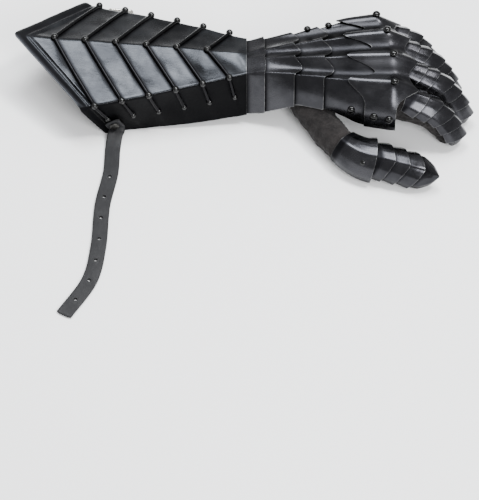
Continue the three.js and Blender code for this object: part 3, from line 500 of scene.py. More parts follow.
def to_border(grid):
    """How far each grid point is from the nearest border, measured along its row and its column."""
    down = np.cumsum(np.linalg.norm(np.diff(grid, axis=0), axis=-1), 0)
    down = np.concatenate([np.zeros((1, grid.shape[1])), down])
    over = np.cumsum(np.linalg.norm(np.diff(grid, axis=1), axis=-1), 1)
    over = np.concatenate([np.zeros((grid.shape[0], 1)), over], 1)
    return np.minimum.reduce([down, down[-1] - down, over, over[:, -1:] - over])


def plate(outer, inner):
    """A closed sheet between two equal grids: both faces, and a strip of quads round their borders."""
    rows, columns = outer.shape[:2]
    number = np.arange(rows * columns).reshape(rows, columns)
    loop = np.concatenate([number[0], number[1:, -1], number[-1, -2::-1], number[-2:0:-1, 0]])
    ahead, below = np.roll(loop, -1), rows * columns
    quads = grid_quads(rows, columns)
    faces = np.vstack([quads, quads[:, ::-1] + below, np.stack([ahead, loop, loop + below, ahead + below], -1)])
    points = np.vstack([outer.reshape(-1, 3), inner.reshape(-1, 3)])
    first, second, third = (points[faces[:, i]] for i in (0, 1, 2))
    fourth = points[faces[:, 3]]
    volume = (np.cross(first, second) * third).sum() + (np.cross(first, third) * fourth).sum()
    return points, faces if volume > 0 else faces[:, ::-1]


def smooth_piece(name, points, faces, materials, slot, node, **marks):
    """A dressed object with a number of each mark on each point."""
    mesh = new_mesh(name, points, faces)
    for label, values in marks.items():
        point_values(mesh, label, values)
    for material in materials:
        mesh.materials.append(material)
    mesh.shade_smooth()
    return dressed(linked(name, mesh), slot, node)


def steel_piece(name, bodies, materials, slot, node, round_over=0.28):
    """One object from bodies of (points, faces, mm to the border, depth of painted shade, material number), in
    millimetres of the hand. Its borders get a fine round."""
    points, faces = gathered([b[:2] for b in bodies])
    border, recess = (np.concatenate([np.broadcast_to(b[i], len(b[0])) for b in bodies]) for i in (2, 3))
    piece = smooth_piece(name, on_row_axes(points), faces, materials, slot, node, border=border, recess=recess)
    piece.data.polygons.foreach_set("material_index", np.concatenate([np.full(len(b[1]), b[4]) for b in bodies]))
    if round_over:
        bevel = piece.modifiers.new("rounded borders", "BEVEL")
        bevel.width, bevel.segments = round_over / 1000, 2
        bevel.limit_method, bevel.angle_limit = "ANGLE", radians(55)
        bevel.harden_normals = True
    return piece


wear, want, give = effect("plate finish", ("Colour", "Color"), ("Worn", "Color"), ("Border", "Float"),
                          ("Recess", "Float"), ("Smooth", "Float", 0.3), ("Brush", "Vector", (1, 1, 1)),
                          ("Cloud", "Float", 0.5))
place = put(wear, "TexCoord").outputs["Object"]
drawn = put(wear, "VectorMath", {0: place, 1: want["Brush"]}, operation="MULTIPLY").outputs[0]
strokes = put(wear, "TexNoise", {"Vector": drawn, "Scale": 1.0, "Detail": 4.0, "Roughness": 0.6}).outputs[0]
cloud = ranged(speckle(wear, 30, 5, 0.6), 0.3, 0.7)
pitting = speckle(wear, 620, 3, 0.65)
chips = speckle(wear, 240, 4, 0.7)
# Wear colour near the borders, real rubbing. On the cuff the same colour also runs along the creases, where it is
# partly rubbing and partly a painted highlight.
rubbed = times(ranged(plus(want["Border"], times(chips, 1.6)), 1.45, 0.75), 0.6)
dulled = times(sums("SUBTRACT", 1.0, cloud), want["Cloud"])
deep = tinted(dulled, want["Colour"], (0.35, 0.35, 0.36, 1), "MULTIPLY")
# Painted shade: this mark blends the colour towards near-black and, below, makes it rougher. On steel it stands for
# shade in creases, under laps and on hidden faces; on plated rivet heads it is tarnish.
shaded_and_tarnished = tinted(want["Recess"], deep, (0.006, 0.006, 0.007, 1))
rough = plus(want["Smooth"], times(sums("SUBTRACT", strokes, 0.5), 0.22))
rough = plus(rough, times(sums("SUBTRACT", cloud, 0.5), 0.1))
rough = plus(rough, times(want["Recess"], 0.25))
height = plus(times(strokes, 0.45), times(pitting, 0.25))
given(give, Colour=tinted(rubbed, shaded_and_tarnished, want["Worn"]), Roughness=sums("MAXIMUM", rough, 0.08),
      Height=plus(height, times(speckle(wear, 75, 2, 0.5), 0.9)))


def grey(level, blue=None):
    """A neutral colour, with its blue set apart if it is given."""
    return level, level, level if blue is None else blue, 1


def steel_finish(name, colour, worn, smooth, brush, cloud, bump_depth):
    """Metal in the plate finish. brush says how fine the strokes are along each axis."""
    values = {"Colour": colour, "Worn": worn, "Smooth": smooth, "Brush": brush, "Cloud": cloud}
    return finish(name, wear, values, ["Border", "Recess"], 0.5, bump_depth, Metallic=1.0)


cuff_black = steel_finish("cuff_blackened_steel", (0.036, 0.038, 0.042, 1), grey(0.18), 0.28, (160, 900, 900), 0.9,
                          0.00025)
# Painted shade: a near-black, rougher copy of the cuff steel for the faces that turn down and for the inner face.
cuff_shaded_copy = steel_finish("cuff_painted_shade_black", grey(0.006, 0.0065), grey(0.06), 0.5, (300, 300, 300), 0.5, 0.0003)

t = np.concatenate([np.linspace(0, 0.91, 140), np.linspace(0.91, 1, 30)[1:]])[:, None]
across = np.linspace(-2, 2, 161)[None]
base = softened(cuff_base(t + 0 * across, across + 0 * t), 2)
normal = facing(base)
ribs_at = np.stack([rib_share(i, across + 0 * t) for i in range(-1, 8)])
along_ribs = np.clip((t - ribs_at[:-1]) / np.maximum(ribs_at[1:] - ribs_at[:-1], 1e-6), 0, 1).sum(0)
between = np.sin(pi * (along_ribs % 1)) ** 0.5
panel = np.abs(np.sin(pi * across)) ** 0.5
dish = -DISH * between * panel * (1 + 0.3 * uneven(base, 30, 13)) * (t < 0.925)
dish = softened(softened(dish, 3), 2, 0)
lip = LIP_RISE * eased(t, LIP_START, LIP_END) + 0.5 * bell(t - 0.94, 0.007)
wobble = 0.3 * uneven(base, 46, 11) + 0.1 * uneven(base, 17, 12)
outer = base + normal * (CUFF_FACE + dish + lip + wobble)[..., None]
inner = base + normal * (CUFF_FACE - STEEL + dish + lip + wobble)[..., None]
near_rib = np.abs(along_ribs - np.round(along_ribs)) * 24
# Painted shade: dark bands beside each rib on the outer facets, and a dark band along the turned lip.
recess = 0.95 * np.exp(-((near_rib / 3.6) ** 4)) * (along_ribs > 0.5) * (along_ribs < 6.5) * (np.abs(across) < 1.52)
recess = np.maximum(recess, 0.8 * eased(t, 0.946, 0.956) * (1 - 0.9 * eased(t, 0.99, 1)))
points, faces = plate(outer, inner)
border = to_border(outer)
painted_crease_highlight = (np.abs(across - np.round(across)) < 0.02) & (t > 0.03) & (t < 0.94)  # wear colour along the creases: partly rubbing, partly a painted highlight on their rounded turn
border = np.where(painted_crease_highlight, 0.0, np.where(t > 0.94, FAR_OFF, border))
body = (points, faces, np.concatenate([border.ravel()] * 2), np.concatenate([recess.ravel(), 0 * recess.ravel()]), 0)
cuff = steel_piece("cuff_steel_sheet", [body], [cuff_black, cuff_shaded_copy], "cuff_steel", "cuff_plate")
# The lower facets' outer faces and the whole inner face take that near-black copy: painted shade.
middle_across = np.abs(np.concatenate([(across + 0 * t)[:-1, :-1].ravel()] * 2)) + 0.0125
black = np.zeros(len(faces), int)
quads = (t.shape[0] - 1) * (across.shape[1] - 1)
black[:quads] = middle_across[:quads] > 1.02
black[quads:] = 1
cuff.data.polygons.foreach_set("material_index", black)

# ---------------- cuff ribs
# Six half-round steel bars are bent over the creases and riveted through the sheet. Each crossing of a crease
# has a domed stud, and each bar ends in a smaller one half way down the lower facet.

RIB_ENDS, STUD_RADIUS = 1.5, 3.3  # across at a bar's end
rib_black = steel_finish("rib_blackened_steel", grey(0.012, 0.013), grey(0.12), 0.2, (500, 500, 500), 0.4, 0.00006)
stud_bright = steel_finish("stud_polished_steel", grey(0.035), grey(0.4), 0.14, (400, 400, 400), 0.3, 0.00004)


def turned(profile, place, normal, sides=28):
    """A lathe shape: rows of (radius, height) carried round a normal at a place. Its first and last lie on the axis."""
    normal = unit(np.asarray(normal, float))
    first = unit(np.cross(normal, (0.31, 0.9, 0.2)))
    second = np.cross(normal, first)
    angle = np.linspace(0, 2 * pi, sides, endpoint=False)[None, :, None]
    r, h = (np.array(profile, float)[1:-1, i][:, None, None] for i in (0, 1))
    rings = place + (np.cos(angle) * first + np.sin(angle) * second) * r + normal * h
    points, faces = lofted(rings)
    points[-2], points[-1] = place + normal * profile[0][1], place + normal * profile[-1][1]
    return points, faces


def dome(radius, height, sink=0.6):
    """A dome's profile: a short straight foot, then radius cos a, height sin a."""
    arc = [(radius * cos(v), height * sin(v)) for v in np.linspace(0, pi / 2, 9)[:-1]]
    return [(0, -sink), (radius * 0.97, -sink)] + arc + [(0, height)]


for i in range(6):
    run = np.concatenate([np.linspace(-RIB_ENDS, -1, 16), np.linspace(-1, 0, 40)[1:], np.linspace(0, 1, 40)[1:],
                          np.linspace(1, RIB_ENDS, 16)[1:]])
    path = softened(cuff_base(rib_share(i, run), run)[None], 2)[0]
    up = unit(softened(cuff_normal(rib_share(i, run), run)[None], 2)[0])
    side = unit(np.cross(np.gradient(path, axis=0), up))
    round_off = np.sqrt(np.clip(1 - np.clip((np.abs(run) - 1.47) / 0.035, 0, 1) ** 2, 0.02, 1))
    angle = np.linspace(-0.25 * pi, 1.25 * pi, 20)
    width, height = 1.75 * round_off[:, None], 2.0 * round_off[:, None]
    over, above = width * np.cos(angle), CUFF_FACE + 0.35 + height * np.sin(angle)
    rings = path[:, None] + side[:, None] * over[..., None] + up[:, None] * above[..., None]
    points, faces = lofted(rings)
    bodies = [(points, faces, FAR_OFF, 0.0, 0)]
    for stop in (-RIB_ENDS, -1, 0, 1, RIB_ENDS):
        radius = STUD_RADIUS * (0.8 if abs(stop) == RIB_ENDS else 1)
        seat = cuff_base(rib_share(i, stop), stop)
        lean = cuff_normal(rib_share(i, stop), stop)
        stud = turned(dome(radius, radius * 1.02, 0.9), seat + lean * (CUFF_FACE + 0.75), lean)
        bodies.append((*stud, FAR_OFF, 0.0, 1))
    steel_piece(f"rib_bar_{i + 1}", bodies, [rib_black, stud_bright], "cuff_steel", f"cuff_rib_{i + 1}", 0)

# ---------------- lames
# Four fluted steel lames overlap from the wrist to the knuckles, each tucked under the one nearer the cuff. Hidden
# leather strips hold them, and domed rivets show on the little finger's ridge and on the thumb's flank.

# x, then y and z of the near edge, the index, middle, ring and little ridge and the far edge, then flute depth and
# flank bulge
BACK = np.array([
    (-14, -38, -40, -27.5, 0, -3, 3.5, 3, 3.5, 27.5, 0, 38, -40, .1, 0),
    (2, -35, -40, -22.5, 0, -3, 2.5, 3, 2.5, 22.5, 0, 35, -40, .1, 0),
    (18, -36, -37, -22.5, 1, -6, 4.5, 5, 4.5, 23.5, 1, 36, -39, .8, .5),
    (46, -38, -25, -26, 2, -9, 8, 7, 9, 26, 4, 40, -37, 3, 2),
    (74, -45, -24, -31, 3, -12, 11, 9, 13, 30, 8, 46, -35, 4.4, 3),
    (102, -54, -32, -37, 4.5, -13.5, 13.5, 11, 16, 34, 12, 52, -32, 5.4, 5),
    (132, -58, -34, -39.5, 5.5, -14, 15, 12.5, 18.5, 36.5, 14, 54, -28, 6.5, 8),
    (156, -58, -34, -40, -8, -14, 3, 12.5, 6, 37, 1, 54, -28, 3.5, 8),
    (172, -58, -34, -40.5, -17, -14, -5, 12.5, -2, 37.5, -8, 54, -28, 1.5, 8)])
fine_x = np.arange(-20, 170, 1.0)
BACK_FINE = np.stack([np.interp(fine_x, BACK[:, 0], BACK[:, i]) for i in range(1, 15)], -1)
keep = eased(fine_x, 112, 124)[:, None]
BACK_FINE = softened(BACK_FINE, 26, 0) * (1 - keep) + softened(BACK_FINE, 12, 0) * keep


def back_surface(x, u):
    """The back of the hand. u counts the six lines from the near edge (0) to the far edge (5). Between lines it is
    straight, less flute sin(pi share) in the three hollows, and out by bulge sin(pi share) on the flanks."""
    x, u = np.broadcast_arrays(np.asarray(x, float), np.asarray(u, float))
    value = np.stack([np.interp(x, fine_x, BACK_FINE[:, i]) for i in range(14)])
    k = np.clip(np.floor(u), 0, 4).astype(int)
    share = u - k
    pick = lambda table, row: np.take_along_axis(table, row[None], 0)[0]
    y = pick(value[0:12:2], k) * (1 - share) + pick(value[0:12:2], k + 1) * share
    z = pick(value[1:12:2], k) * (1 - share) + pick(value[1:12:2], k + 1) * share
    arch = np.sin(pi * share)
    y = y + value[13] * arch * np.where(k == 4, 1, np.where(k == 0, -1, 0))
    z = z - value[12] * arch * ((k > 0) & (k < 4))
    return np.stack([x, y, z], -1)


def back_normal(x, u):
    """The section's outward normal in the YZ plane, from a short step either way."""
    there = np.clip(u, 0.05, 4.95)
    over = back_surface(x, there + 0.04) - back_surface(x, there - 0.04)
    return unit(np.stack([0 * over[..., 0], -over[..., 2], over[..., 1]], -1))


def back_point(x, u, raised):
    """A place above the back of the hand, after the slant."""
    return slanted(back_surface(x, u) + back_normal(x, u) * raised)


def plate_body(outer, inner, recess):
    """A plate as a body for steel_piece, with the painted shade of its outer face. Its inner face is darkened all over
    as painted shade, and made rougher.
    """
    border = to_border(outer).ravel()
    return *plate(outer, inner), np.concatenate([border] * 2), np.concatenate([recess.ravel(), 0.6 + 0 * border]), 0


def back_plate(x, u, raised, recess):
    """The body of a plate on the back of the hand."""
    base = softened(back_surface(x, u), 1)
    over = np.gradient(base, axis=1)
    normal = unit(np.stack([0 * over[..., 0], -over[..., 2], over[..., 1]], -1))
    return plate_body(*(slanted(base + normal * (raised - drop)[..., None]) for drop in (0, STEEL)), recess)


def rivet(place, normal, radius=3.7):
    """A domed rivet head's body."""
    return (*turned(dome(radius, 2.8), place, normal), FAR_OFF, 0.0, 1)


RIDGE_RIVET, FLANK = 3.33, 1 / 3
hand_graphite = steel_finish("hand_polished_steel", grey(0.045, 0.049), grey(0.17), 0.24, (60, 1100, 1100), 0.75,
                             0.00018)
rivet_bright = steel_finish("rivet_polished_steel", grey(0.03), grey(0.3), 0.15, (400, 400, 400), 0.3, 0.00004)

u = np.concatenate([np.linspace(k, k + 1, 15)[:-1] for k in range(5)] + [[5]])[None]
hollow = np.where((u > 1) & (u < 4), np.sin(pi * (u % 1)), 0)
# name, start, end, reach in the hollows, share tucked under, then how high its rear and its front stand
LAMES = (("wrist_lame", -9, 18, 1, .45, -1.7, 1.2), ("hand_lame_1", 13, 44, 7, .06, -1.6, 1.3),
         ("hand_lame_2", 38, 70, 9, .06, -1.5, 1.3), ("hand_lame_3", 64, 108, 15, .04, -1.5, 1.2))
flank = np.where(u < 1, 1 - u, np.where(u > 4, u - 4, 0))
plate_rear = 88 + 27 * hollow + 19 * np.minimum(1, flank * 3)
covered_to = np.full(u.shape, 2.0)
for name, start, end, reach, tuck, dip, front in LAMES:
    stop = np.linspace(0, 1, 34)[:, None]
    x = start + (end + reach * hollow - start) * stop
    raised = dip + (front - dip) * np.clip((stop - tuck) / (1 - tuck), 0, 1) + 0 * x
    over = covered_to - x
    covered_to = x[-1:]
    # Painted shadow: dark beneath the lame before and fading just in front of its edge; painted shade down the three
    # flute hollows, stronger towards the knuckles.
    under = np.maximum(bell(np.maximum(0, -over), 2.6), 0.65 * hollow ** 2 * eased(x, 20, 90))
    # The last lame also gets painted shadow beneath the knuckle plate and just behind its rear edge.
    if name == "hand_lame_3":
        under = np.maximum(under, bell(np.maximum(0, plate_rear - x), 2.2))
    bodies = [back_plate(x, u + 0 * stop, raised, 0.95 * under)]
    at_stop = lambda s: dip + (front - dip) * (s - tuck) / (1 - tuck)
    if name == "hand_lame_2":
        bodies.append(rivet(back_point(61, 4, at_stop(.72)), (-.05, .4, 1), RIDGE_RIVET))
    if name == "hand_lame_3":
        bodies.append(rivet(back_point(82, 4, at_stop(.41)), (-.05, .4, 1), RIDGE_RIVET))
        bodies.append(rivet(back_point(95, FLANK, at_stop(.7)), back_normal(95., FLANK)))
    steel_piece(f"{name}_steel", bodies, [hand_graphite, rivet_bright], "hand_steel", name)

# ---------------- knuckle plate
# One piece of steel is raised over the four knuckles. Its rear edge reaches back along each ridge, its front edge
# runs forward over each finger, and a domed rivet stands on every crest. Two more hold it on the thumb's flank.

KNUCKLE_X, KNUCKLE_RAISE = 132, 3.1
front = 155 - 10 * hollow + np.where(u >= 4, 6, 0) - 19 * np.minimum(1, flank * 3)
stop = np.concatenate([np.linspace(0, 1, 40), np.linspace(1, 2, 24)[1:]])[:, None]
x = np.where(stop <= 1, plate_rear + (KNUCKLE_X - plate_rear) * stop, KNUCKLE_X + (front - KNUCKLE_X) * (stop - 1))
# Painted shade down the flute hollows, strongest towards the plate's rear.
bodies = [back_plate(x, u + 0 * stop, KNUCKLE_RAISE + 0 * x, 0.65 * hollow ** 1.5 * eased(x, 155, 118))]
for k in (1, 2, 3, 4):
    bodies.append(rivet(back_point(KNUCKLE_X, k, KNUCKLE_RAISE), (0, 0, 1)))
for place in (116., 130.):
    bodies.append(rivet(back_point(place, FLANK, KNUCKLE_RAISE), back_normal(place, FLANK)))
steel_piece("knuckle_steel", bodies, [hand_graphite, rivet_bright], "hand_steel", "knuckle_plate")

# ---------------- finger scales
# Each finger has a row of pointed steel scales, folded along the middle and lapped like roof tiles over the next.
# They are riveted to a hidden leather strip on the suede, and the last one closes over the fingertip.

SCALE_ROUND, LAP, FIRST_SCALE = 0.22, 3.5, 11
scale_steel = steel_finish("scale_polished_steel", grey(0.042, 0.046), grey(0.17), 0.22, (260, 260, 260), 0.7, 0.00018)
SECTION = ((-88, 1.01), (-60, 1.01), (-28, 1.04), (0, 1.19), (28, 1.04), (60, 1.01), (88, 1.01))


def folded(values):
    """Six flat facets: seven section places along the last-but-one axis become 31, straight between them."""
    v = np.linspace(0, 6, 31)
    k = np.minimum(v.astype(int), 5)
    share = (v - k)[:, None]
    return values[..., k, :] * (1 - share) + values[..., k + 1, :] * share


def lapped_body(outer, inner, s, start, reach, angle):
    """A scale's body from its two faces, with painted shadow for LAP mm where the piece before lies over it, fading
    just past that edge.
    """
    clear = folded((s - start - LAP - reach * (1 - np.abs(angle) / 60))[..., None])[..., 0]
    return plate_body(outer, inner, 0.95 * bell(np.maximum(0, clear), 1.9))


def scale_body(line, radius, start, end, reach, rise=3.9, rows=11):
    """A scale: its front edge is end + reach (1 - |angle| / 60), and its radius grows by rise from rear to front."""
    angle, swell = np.array(SECTION, float).T
    stop = np.linspace(0, 1, rows)[:, None]
    s = start + (end + reach * (1 - np.abs(angle) / 60) - start) * stop
    bore = (radius * (1 - TAPER * s / len(line["s"])) + 0.4) * swell + rise * stop
    outer, inner = (softened(folded(round_digit(line, s, np.radians(angle), bore + more)), 1) for more in (1, 0))
    return lapped_body(outer, inner, s, start, reach, angle)


def tip_body(line, radius, start, reach, shares=(1, .96, .72, .25), under=5):
    """A cap: rings of the same section drawn towards a nose in front of the digit's end."""
    angle, swell = np.array(SECTION, float).T
    last = line["s"][-1]
    end, along, back = (line[k][-1] for k in ("place", "along", "back"))
    nose = end + along * reach + back * radius * 0.45
    stop = np.linspace(0, 1, 15)[:, None]
    share = np.interp(stop, (0, .5, .85, 1), shares)[..., None]
    s = start + (last + 1.5 - start) * stop
    faces_of = []
    for extra in (1, 0):
        bore = (radius * (1 - TAPER * s / len(line["s"])) + 0.4) * swell + 0.6 * stop + extra
        ring = round_digit(line, np.minimum(s, last) + 0 * angle, np.radians(angle), bore)
        faces_of.append(softened(folded(ring * share + (nose + along * extra) * (1 - share)), 1))
    return lapped_body(*faces_of, s, start, under, angle)


def scale_piece(name, body, node):
    """One scale or end cap as an object."""
    steel_piece(name, [body], [scale_steel], "hand_steel", node, SCALE_ROUND)


for name, digit in DIGITS.items():
    line = lines[name]
    last = line["s"][-1]
    pitch = (last - 9 - FIRST_SCALE) / (digit["scales"] - 1)
    for i in range(digit["scales"] - 1):
        start, end = FIRST_SCALE + i * pitch - LAP, FIRST_SCALE + (i + 1) * pitch
        body = scale_body(line, digit["radius"], start, end, 5)
        scale_piece(f"{name}_roof_scale_{i + 1}", body, f"{name}_scale_{i + 1}")
    scale_piece(f"{name}_end_scale", tip_body(line, digit["radius"], last - 12.5, 2), f"{name}_tip")

# ---------------- thumb plates
# A plain curved plate covers the base of the thumb and is held by one domed rivet. Three lapped scales and a pointed
# end cap follow it, riveted to a strip along the back of the thumb.

THUMB_RADIUS, PLATE_START, PLATE_END = 13.3, 72, 104
base_plate = scale_body(thumb, THUMB_RADIUS, PLATE_START, PLATE_END, 1.5, rows=21)
angle = radians(-22)
raised = 13 * 0.96 + 0.4 + 2.5 * 0.75
seat, under = (round_digit(thumb, 96.0, angle, r) for r in (raised, raised - 5))
bodies = [base_plate, rivet(seat, seat - under)]
steel_piece("thumb_base_steel", bodies, [hand_graphite, rivet_bright], "hand_steel", "thumb_base_plate")
length = len(thumb["s"])
pitch = (length - 12 - PLATE_END) / 3
for i in range(3):
    start, end = PLATE_END + i * pitch - LAP, PLATE_END + (i + 1) * pitch
    body = scale_body(thumb, THUMB_RADIUS - 0.25 * (i + 1), start, end, 7, 1.9)
    scale_piece(f"thumb_roof_scale_{i + 1}", body, f"thumb_scale_{i + 1}")
scale_piece("thumb_end_scale", tip_body(thumb, 13.1, length - 15.5, 10, (1, .95, .57, .05), 7), "thumb_tip")

# ---------------- strap and buckle
# A strap of smooth dark leather is riveted outside the thumb side's lower facet and lies out on the floor, with a
# row of punched holes. On the other side a short tab of the same leather folds round the bar of a plated buckle.

FLOOR = -HAND_AT[2]
STRAP_WIDTH, STRAP_THICK = 14, 2.4
STRAP_SIDES = 44
HOLES, HOLE_PITCH, HOLE_RADIUS = 7, 25, 1.7
STRAP_X, BAR_Y, FOLD_RADIUS = -112, 80, 3.4  # where both are riveted, and the buckle's bar in the tab's fold


def on_model(points):
    """From the leaned axes, in which the strap and buckle are laid out, to metres on the object's axes."""
    return (np.asarray(points, float) + HAND_AT) / 1000


def strap_line(side, x, run, step):
    """A strap's middle line: down the lower facet from across 1.56 to 1.84, round one bend, then along run on the
    floor. Its width starts along the facet's edge and turns level."""
    t = float(share_at("lower", x))
    lean = lambda p: on_row_axes(p) * 1000 - HAND_AT
    spots = []
    for place in (1.56, 1.84):
        over = cuff_base(t, side * (place + 0.02)) - cuff_base(t, side * (place - 0.02))
        down = cuff_base(t + 0.01, side * place) - cuff_base(t - 0.01, side * place)
        normal = unit(np.cross(over, down)) * side
        spots.append(lean(cuff_base(t, side * place) + normal * (CUFF_FACE + 1.1 + STRAP_THICK / 2)))
    high, low = spots
    rest = FLOOR + STRAP_THICK / 2 + 0.25
    ground = [np.array((rx, side * out, rest + up)) for rx, out, up in run]
    bend = np.array(((low[0] + ground[0][0]) / 2, low[1] + (ground[0][1] - low[1]) * 0.28, rest + 3.5))
    s, place, along = smooth_path([high, (high + low) / 2, low, bend] + ground, step)
    edge = lean(crease("lower", t - 0.03) * (1, side, 1)) - lean(crease("lower", t + 0.03) * (1, side, 1))
    level = unit(np.stack([np.abs(along[:, 1]), -np.sign(along[:, 1]) * along[:, 0], 0 * s], -1))
    share = eased(s, 14, 50)[:, None]
    flat = unit(edge) * (1 - share) + level * share
    width = unit(flat - (flat * along).sum(-1, keepdims=True) * along)
    place[:, 2] = np.maximum(place[:, 2], rest)
    return s, place, width, np.cross(width, along) * side


def strap_body(run):
    """A flat section with rounded edges carried along the line: y = half |cos|^0.22, z = thick |sin|^0.62, each with
    its sign, drawn in over the last millimetre of both ends."""
    s, place, width, normal = run
    angle = np.linspace(0, 2 * pi, STRAP_SIDES, endpoint=False)
    y = np.sign(np.cos(angle)) * np.abs(np.cos(angle)) ** 0.22 * (STRAP_WIDTH / 2)
    z = np.sign(np.sin(angle)) * np.abs(np.sin(angle)) ** 0.62 * (STRAP_THICK / 2)
    close = np.clip(np.minimum(s, s[-1] - s), 0.35, 1)[:, None]
    return lofted(place[:, None] + width[:, None] * (y * np.sqrt(close))[..., None]
                  + normal[:, None] * (z * close)[..., None])


grain, want, give = effect("strap grain", ("Colour", "Color"), ("Rubbed", "Color"), ("Edge", "Float"))
place = put(grain, "TexCoord").outputs["Object"]
pores = put(grain, "TexVoronoi", {"Vector": place, "Scale": 900.0}, feature="DISTANCE_TO_EDGE").outputs["Distance"]
creasing = ranged(speckle(grain, 150, 4, 0.6, (1, 0.35, 1)), 0.4, 0.62)
worn = ranged(speckle(grain, 45, 4, 0.6), 0.4, 0.72)
worn = sums("MAXIMUM", times(worn, 0.35), want["Edge"])
given(give, Colour=tinted(worn, want["Colour"], want["Rubbed"]), Roughness=plus(0.42, times(creasing, 0.16)),
      Height=plus(ranged(pores, 0.0, 0.2, 0.0, 0.6), times(creasing, -0.5)))
leather_colours = {"Colour": grey(0.009, 0.01), "Rubbed": grey(0.02, 0.0215)}
harness = finish("dark_harness_leather", grain, leather_colours, ["Edge"], 0.5, 0.0002, Specular_IOR_Level=0.22)
nickel = steel_finish("nickel_plate", (0.62, 0.6, 0.55, 1), (0.75, 0.74, 0.7, 1), 0.2, (250, 250, 250), 0.25, 0.00005)


def leather_piece(name, run, node):
    """A strap's object, rubbed along its two edges."""
    points, faces = strap_body(run)
    around = np.arange(len(points)) % STRAP_SIDES
    from_edge = np.minimum(np.abs(around - STRAP_SIDES // 2), np.minimum(around, STRAP_SIDES - around))
    edge = 0.6 * bell(from_edge, 2.2)
    return smooth_piece(name, on_model(points), faces, [harness], "harness_leather", node, edge=edge)


lies = [(-114, 79, 0), (-115, 110, 0), (-121, 150, 0), (-123, 200, 0), (-129, 238, 0), (-150, 280, 0)]
strap_run = strap_line(-1, STRAP_X, lies, 1.2)
strap = leather_piece("holed_strap", strap_run, "strap")
s, place, _, normal = strap_run
punches = []
for i in range(HOLES):
    k = np.abs(s - (s[-1] - 20 - HOLE_PITCH * i)).argmin()
    punches.append(turned([(0, -6), (HOLE_RADIUS, -6), (HOLE_RADIUS, 6), (0, 6)], place[k], normal[k], 20))
points, faces = gathered(punches)
punch = linked("punches", new_mesh("punches", on_model(points), faces))
holes = strap.modifiers.new("punched holes", "BOOLEAN")
holes.object, holes.operation, holes.solver = punch, "DIFFERENCE", "EXACT"
strap.data = evaluated(strap)
strap.modifiers.clear()
bpy.data.objects.remove(punch)
strap.data.set_sharp_from_angle(angle=radians(50))

loop = [(BAR_Y + FOLD_RADIUS * cos(radians(a)), FOLD_RADIUS * (1 + sin(radians(a))))
        for a in (-90, -45, 0, 45, 90)]
folds = [(68, 0), (74, 0)] + loop + [(76, 5.2), (71, 2.9), (68, 2.9)]
tab_run = strap_line(1, STRAP_X, [(STRAP_X, *fold) for fold in folds], 0.8)
leather_piece("buckle_tab_leather", tab_run, "buckle_tab")


def nickel_piece(name, bodies, node, tarnish=0.0):
    """A plated piece. tarnish from 0 to 1 darkens it."""
    points, faces = gathered(bodies)
    border, recess = (np.full(len(points), value) for value in (FAR_OFF, tarnish))
    piece = smooth_piece(name, on_model(points), faces, [nickel], "nickel", node, border=border, recess=recess)
    piece.data.set_sharp_from_angle(angle=radians(50))


disc = [(0, 0), (4.2, 0), (4.2, 0.7), (4.0, 1.0), (3.3, 1.45), (2.2, 1.75), (1.1, 1.88), (0, 1.9)]
for name, (s, place, _, normal) in (("strap_rivet", strap_run), ("buckle_rivet", tab_run)):
    k = np.abs(s - 6).argmin()
    head = turned(disc, place[k] + normal[k] * (STRAP_THICK / 2 + 0.4), normal[k])
    nickel_piece(f"{name}_head", [head], name, 0.93)

wire, size = 2.6, 24
bar_height = STRAP_THICK / 2 + FOLD_RADIUS + 0.25
tilt = asin((bar_height - wire / 2) / (size - wire))
half, corner = size / 2 - wire / 2, 2.2
quarter = np.linspace(0, pi / 2, 8)
bend = np.stack([half - corner + corner * np.cos(quarter), half - corner + corner * np.sin(quarter)], -1)
turns = [bend, (bend * (-1, 1))[::-1], bend * (-1, -1), (bend * (1, -1))[::-1]]
outline = np.vstack([np.hstack([t, np.zeros((8, 1))]) for t in turns])
ahead = unit(np.roll(outline, -1, 0) - np.roll(outline, 1, 0))
outwards = np.cross(ahead, (0, 0, 1.0))
angle = np.linspace(0, 2 * pi, 16, endpoint=False)
upright, sideways = np.array((0, 0, 1.0)), np.array((1.0, 0, 0))
round_wire = outwards[:, None] * np.cos(angle)[:, None] + upright * np.sin(angle)[:, None]
rings = outline[:, None] + round_wire * wire / 2
i, count = np.arange(16), len(outline)
end = (count - 1) * 16
joint = np.stack([end + i, end + (i + 1) % 16, (i + 1) % 16, i], -1)
ring = (rings.reshape(-1, 3), np.vstack([grid_quads(count, 16, True), joint]).tolist())
length = size - 2 * FOLD_RADIUS - 1
y = np.linspace(0, 1, 14)
spine = np.stack([0 * y, size / 2 - 0.3 - length * (1 - y), 0.9 * np.sin(pi * y) ** 2 + 0.5 * y], -1)
thin = (1.05 - 0.3 * y)[:, None, None]
prong = lofted(spine[:, None] + (sideways * np.cos(angle)[:, None] + upright * np.sin(angle)[:, None]) * thin)
parts = []
for points, faces in (ring, prong):
    x, y, z = (points + (0, half, 0)).T
    out = y * cos(tilt) + z * sin(tilt) + BAR_Y
    high = -y * sin(tilt) + z * cos(tilt) + FLOOR + bar_height
    parts.append((np.stack([x + STRAP_X, out, high], -1), faces))
nickel_piece("plated_buckle", parts, "buckle")

# ---------------- floor, light and camera
# The gauntlet lies on a plain pale floor under an even pale sky. Three square soft lights draw the streaks on the
# steel: one hangs over it and a little behind, a smaller one high beyond the fingers, and one lower in front.

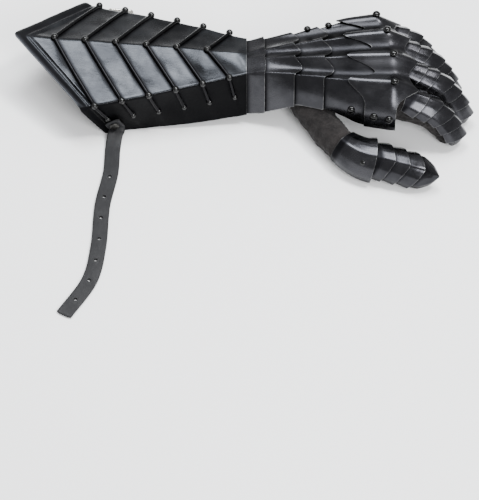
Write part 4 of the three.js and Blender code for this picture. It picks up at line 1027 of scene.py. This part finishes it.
floor = linked("floor", new_mesh("floor", [(-4, -4, 0), (4, -4, 0), (4, 4, 0), (-4, 4, 0)], [(0, 1, 2, 3)]))
floor.data.materials.append(new_material("pale_floor", Base_Color=grey(0.92), Roughness=0.9)[0])

world = bpy.data.worlds.new("studio")
bpy.context.scene.world = world
world.use_nodes = True
sky = world.node_tree.nodes["Background"].inputs
sky["Color"].default_value, sky["Strength"].default_value = (0.96, 0.965, 0.98, 1), 0.95


def placed(thing, sideways, upwards, backwards, place):
    """Stands a light or camera at a place, with its three axes along three directions."""
    rows = zip(np.stack([sideways, upwards, backwards], -1), place)
    thing.matrix_world = Matrix([(*row, p) for row, p in rows] + [(0, 0, 0, 1)])


for name, place, aim, size, power, colour in (
        ("overhead", (-0.15, 0.5, 1.7), (-0.1, 0.05, 0), 0.75, 38, (0.95, 0.98, 1)),
        ("streaks", (0.75, 0.15, 1.9), (0.1, 0, 0), 0.42, 36, (1, 1, 1)),
        ("front", (0.5, -1.3, 1.15), (0.1, 0, 0.03), 0.7, 30, (0.98, 0.99, 1))):
    light = bpy.data.lights.new(name, "AREA")
    light.size, light.energy, light.color = size, power, colour
    z = unit(np.subtract(place, aim))
    x = unit(np.cross((0, 1, 0.01), z))
    placed(linked(name, light), x, np.cross(z, x), z, place)

# 2.5 m off, in front and above at 45 degrees to the leaned hand, aimed nearer so that the gauntlet is high in view
camera_data = bpy.data.cameras.new("camera")
camera = linked("camera", camera_data)
camera_data.sensor_fit, camera_data.sensor_width, camera_data.lens = "HORIZONTAL", 36, 206.7
lean = np.array(((cos(LEAN), 0, -sin(LEAN)), (0, 1, 0), (sin(LEAN), 0, cos(LEAN))))
eye = on_row_axes((-4.5, -28.5, -28.5)) + lean @ np.array((0, -1, 1)) * sqrt(0.5) * 2.5
back = unit(eye - on_row_axes((-4.5, -124.7, -124.7)))
right = lean[:, 0]
placed(camera, right, np.cross(back, right), back, eye)
camera_data.clip_start, camera_data.clip_end = 0.05, 20
bpy.context.scene.camera = camera
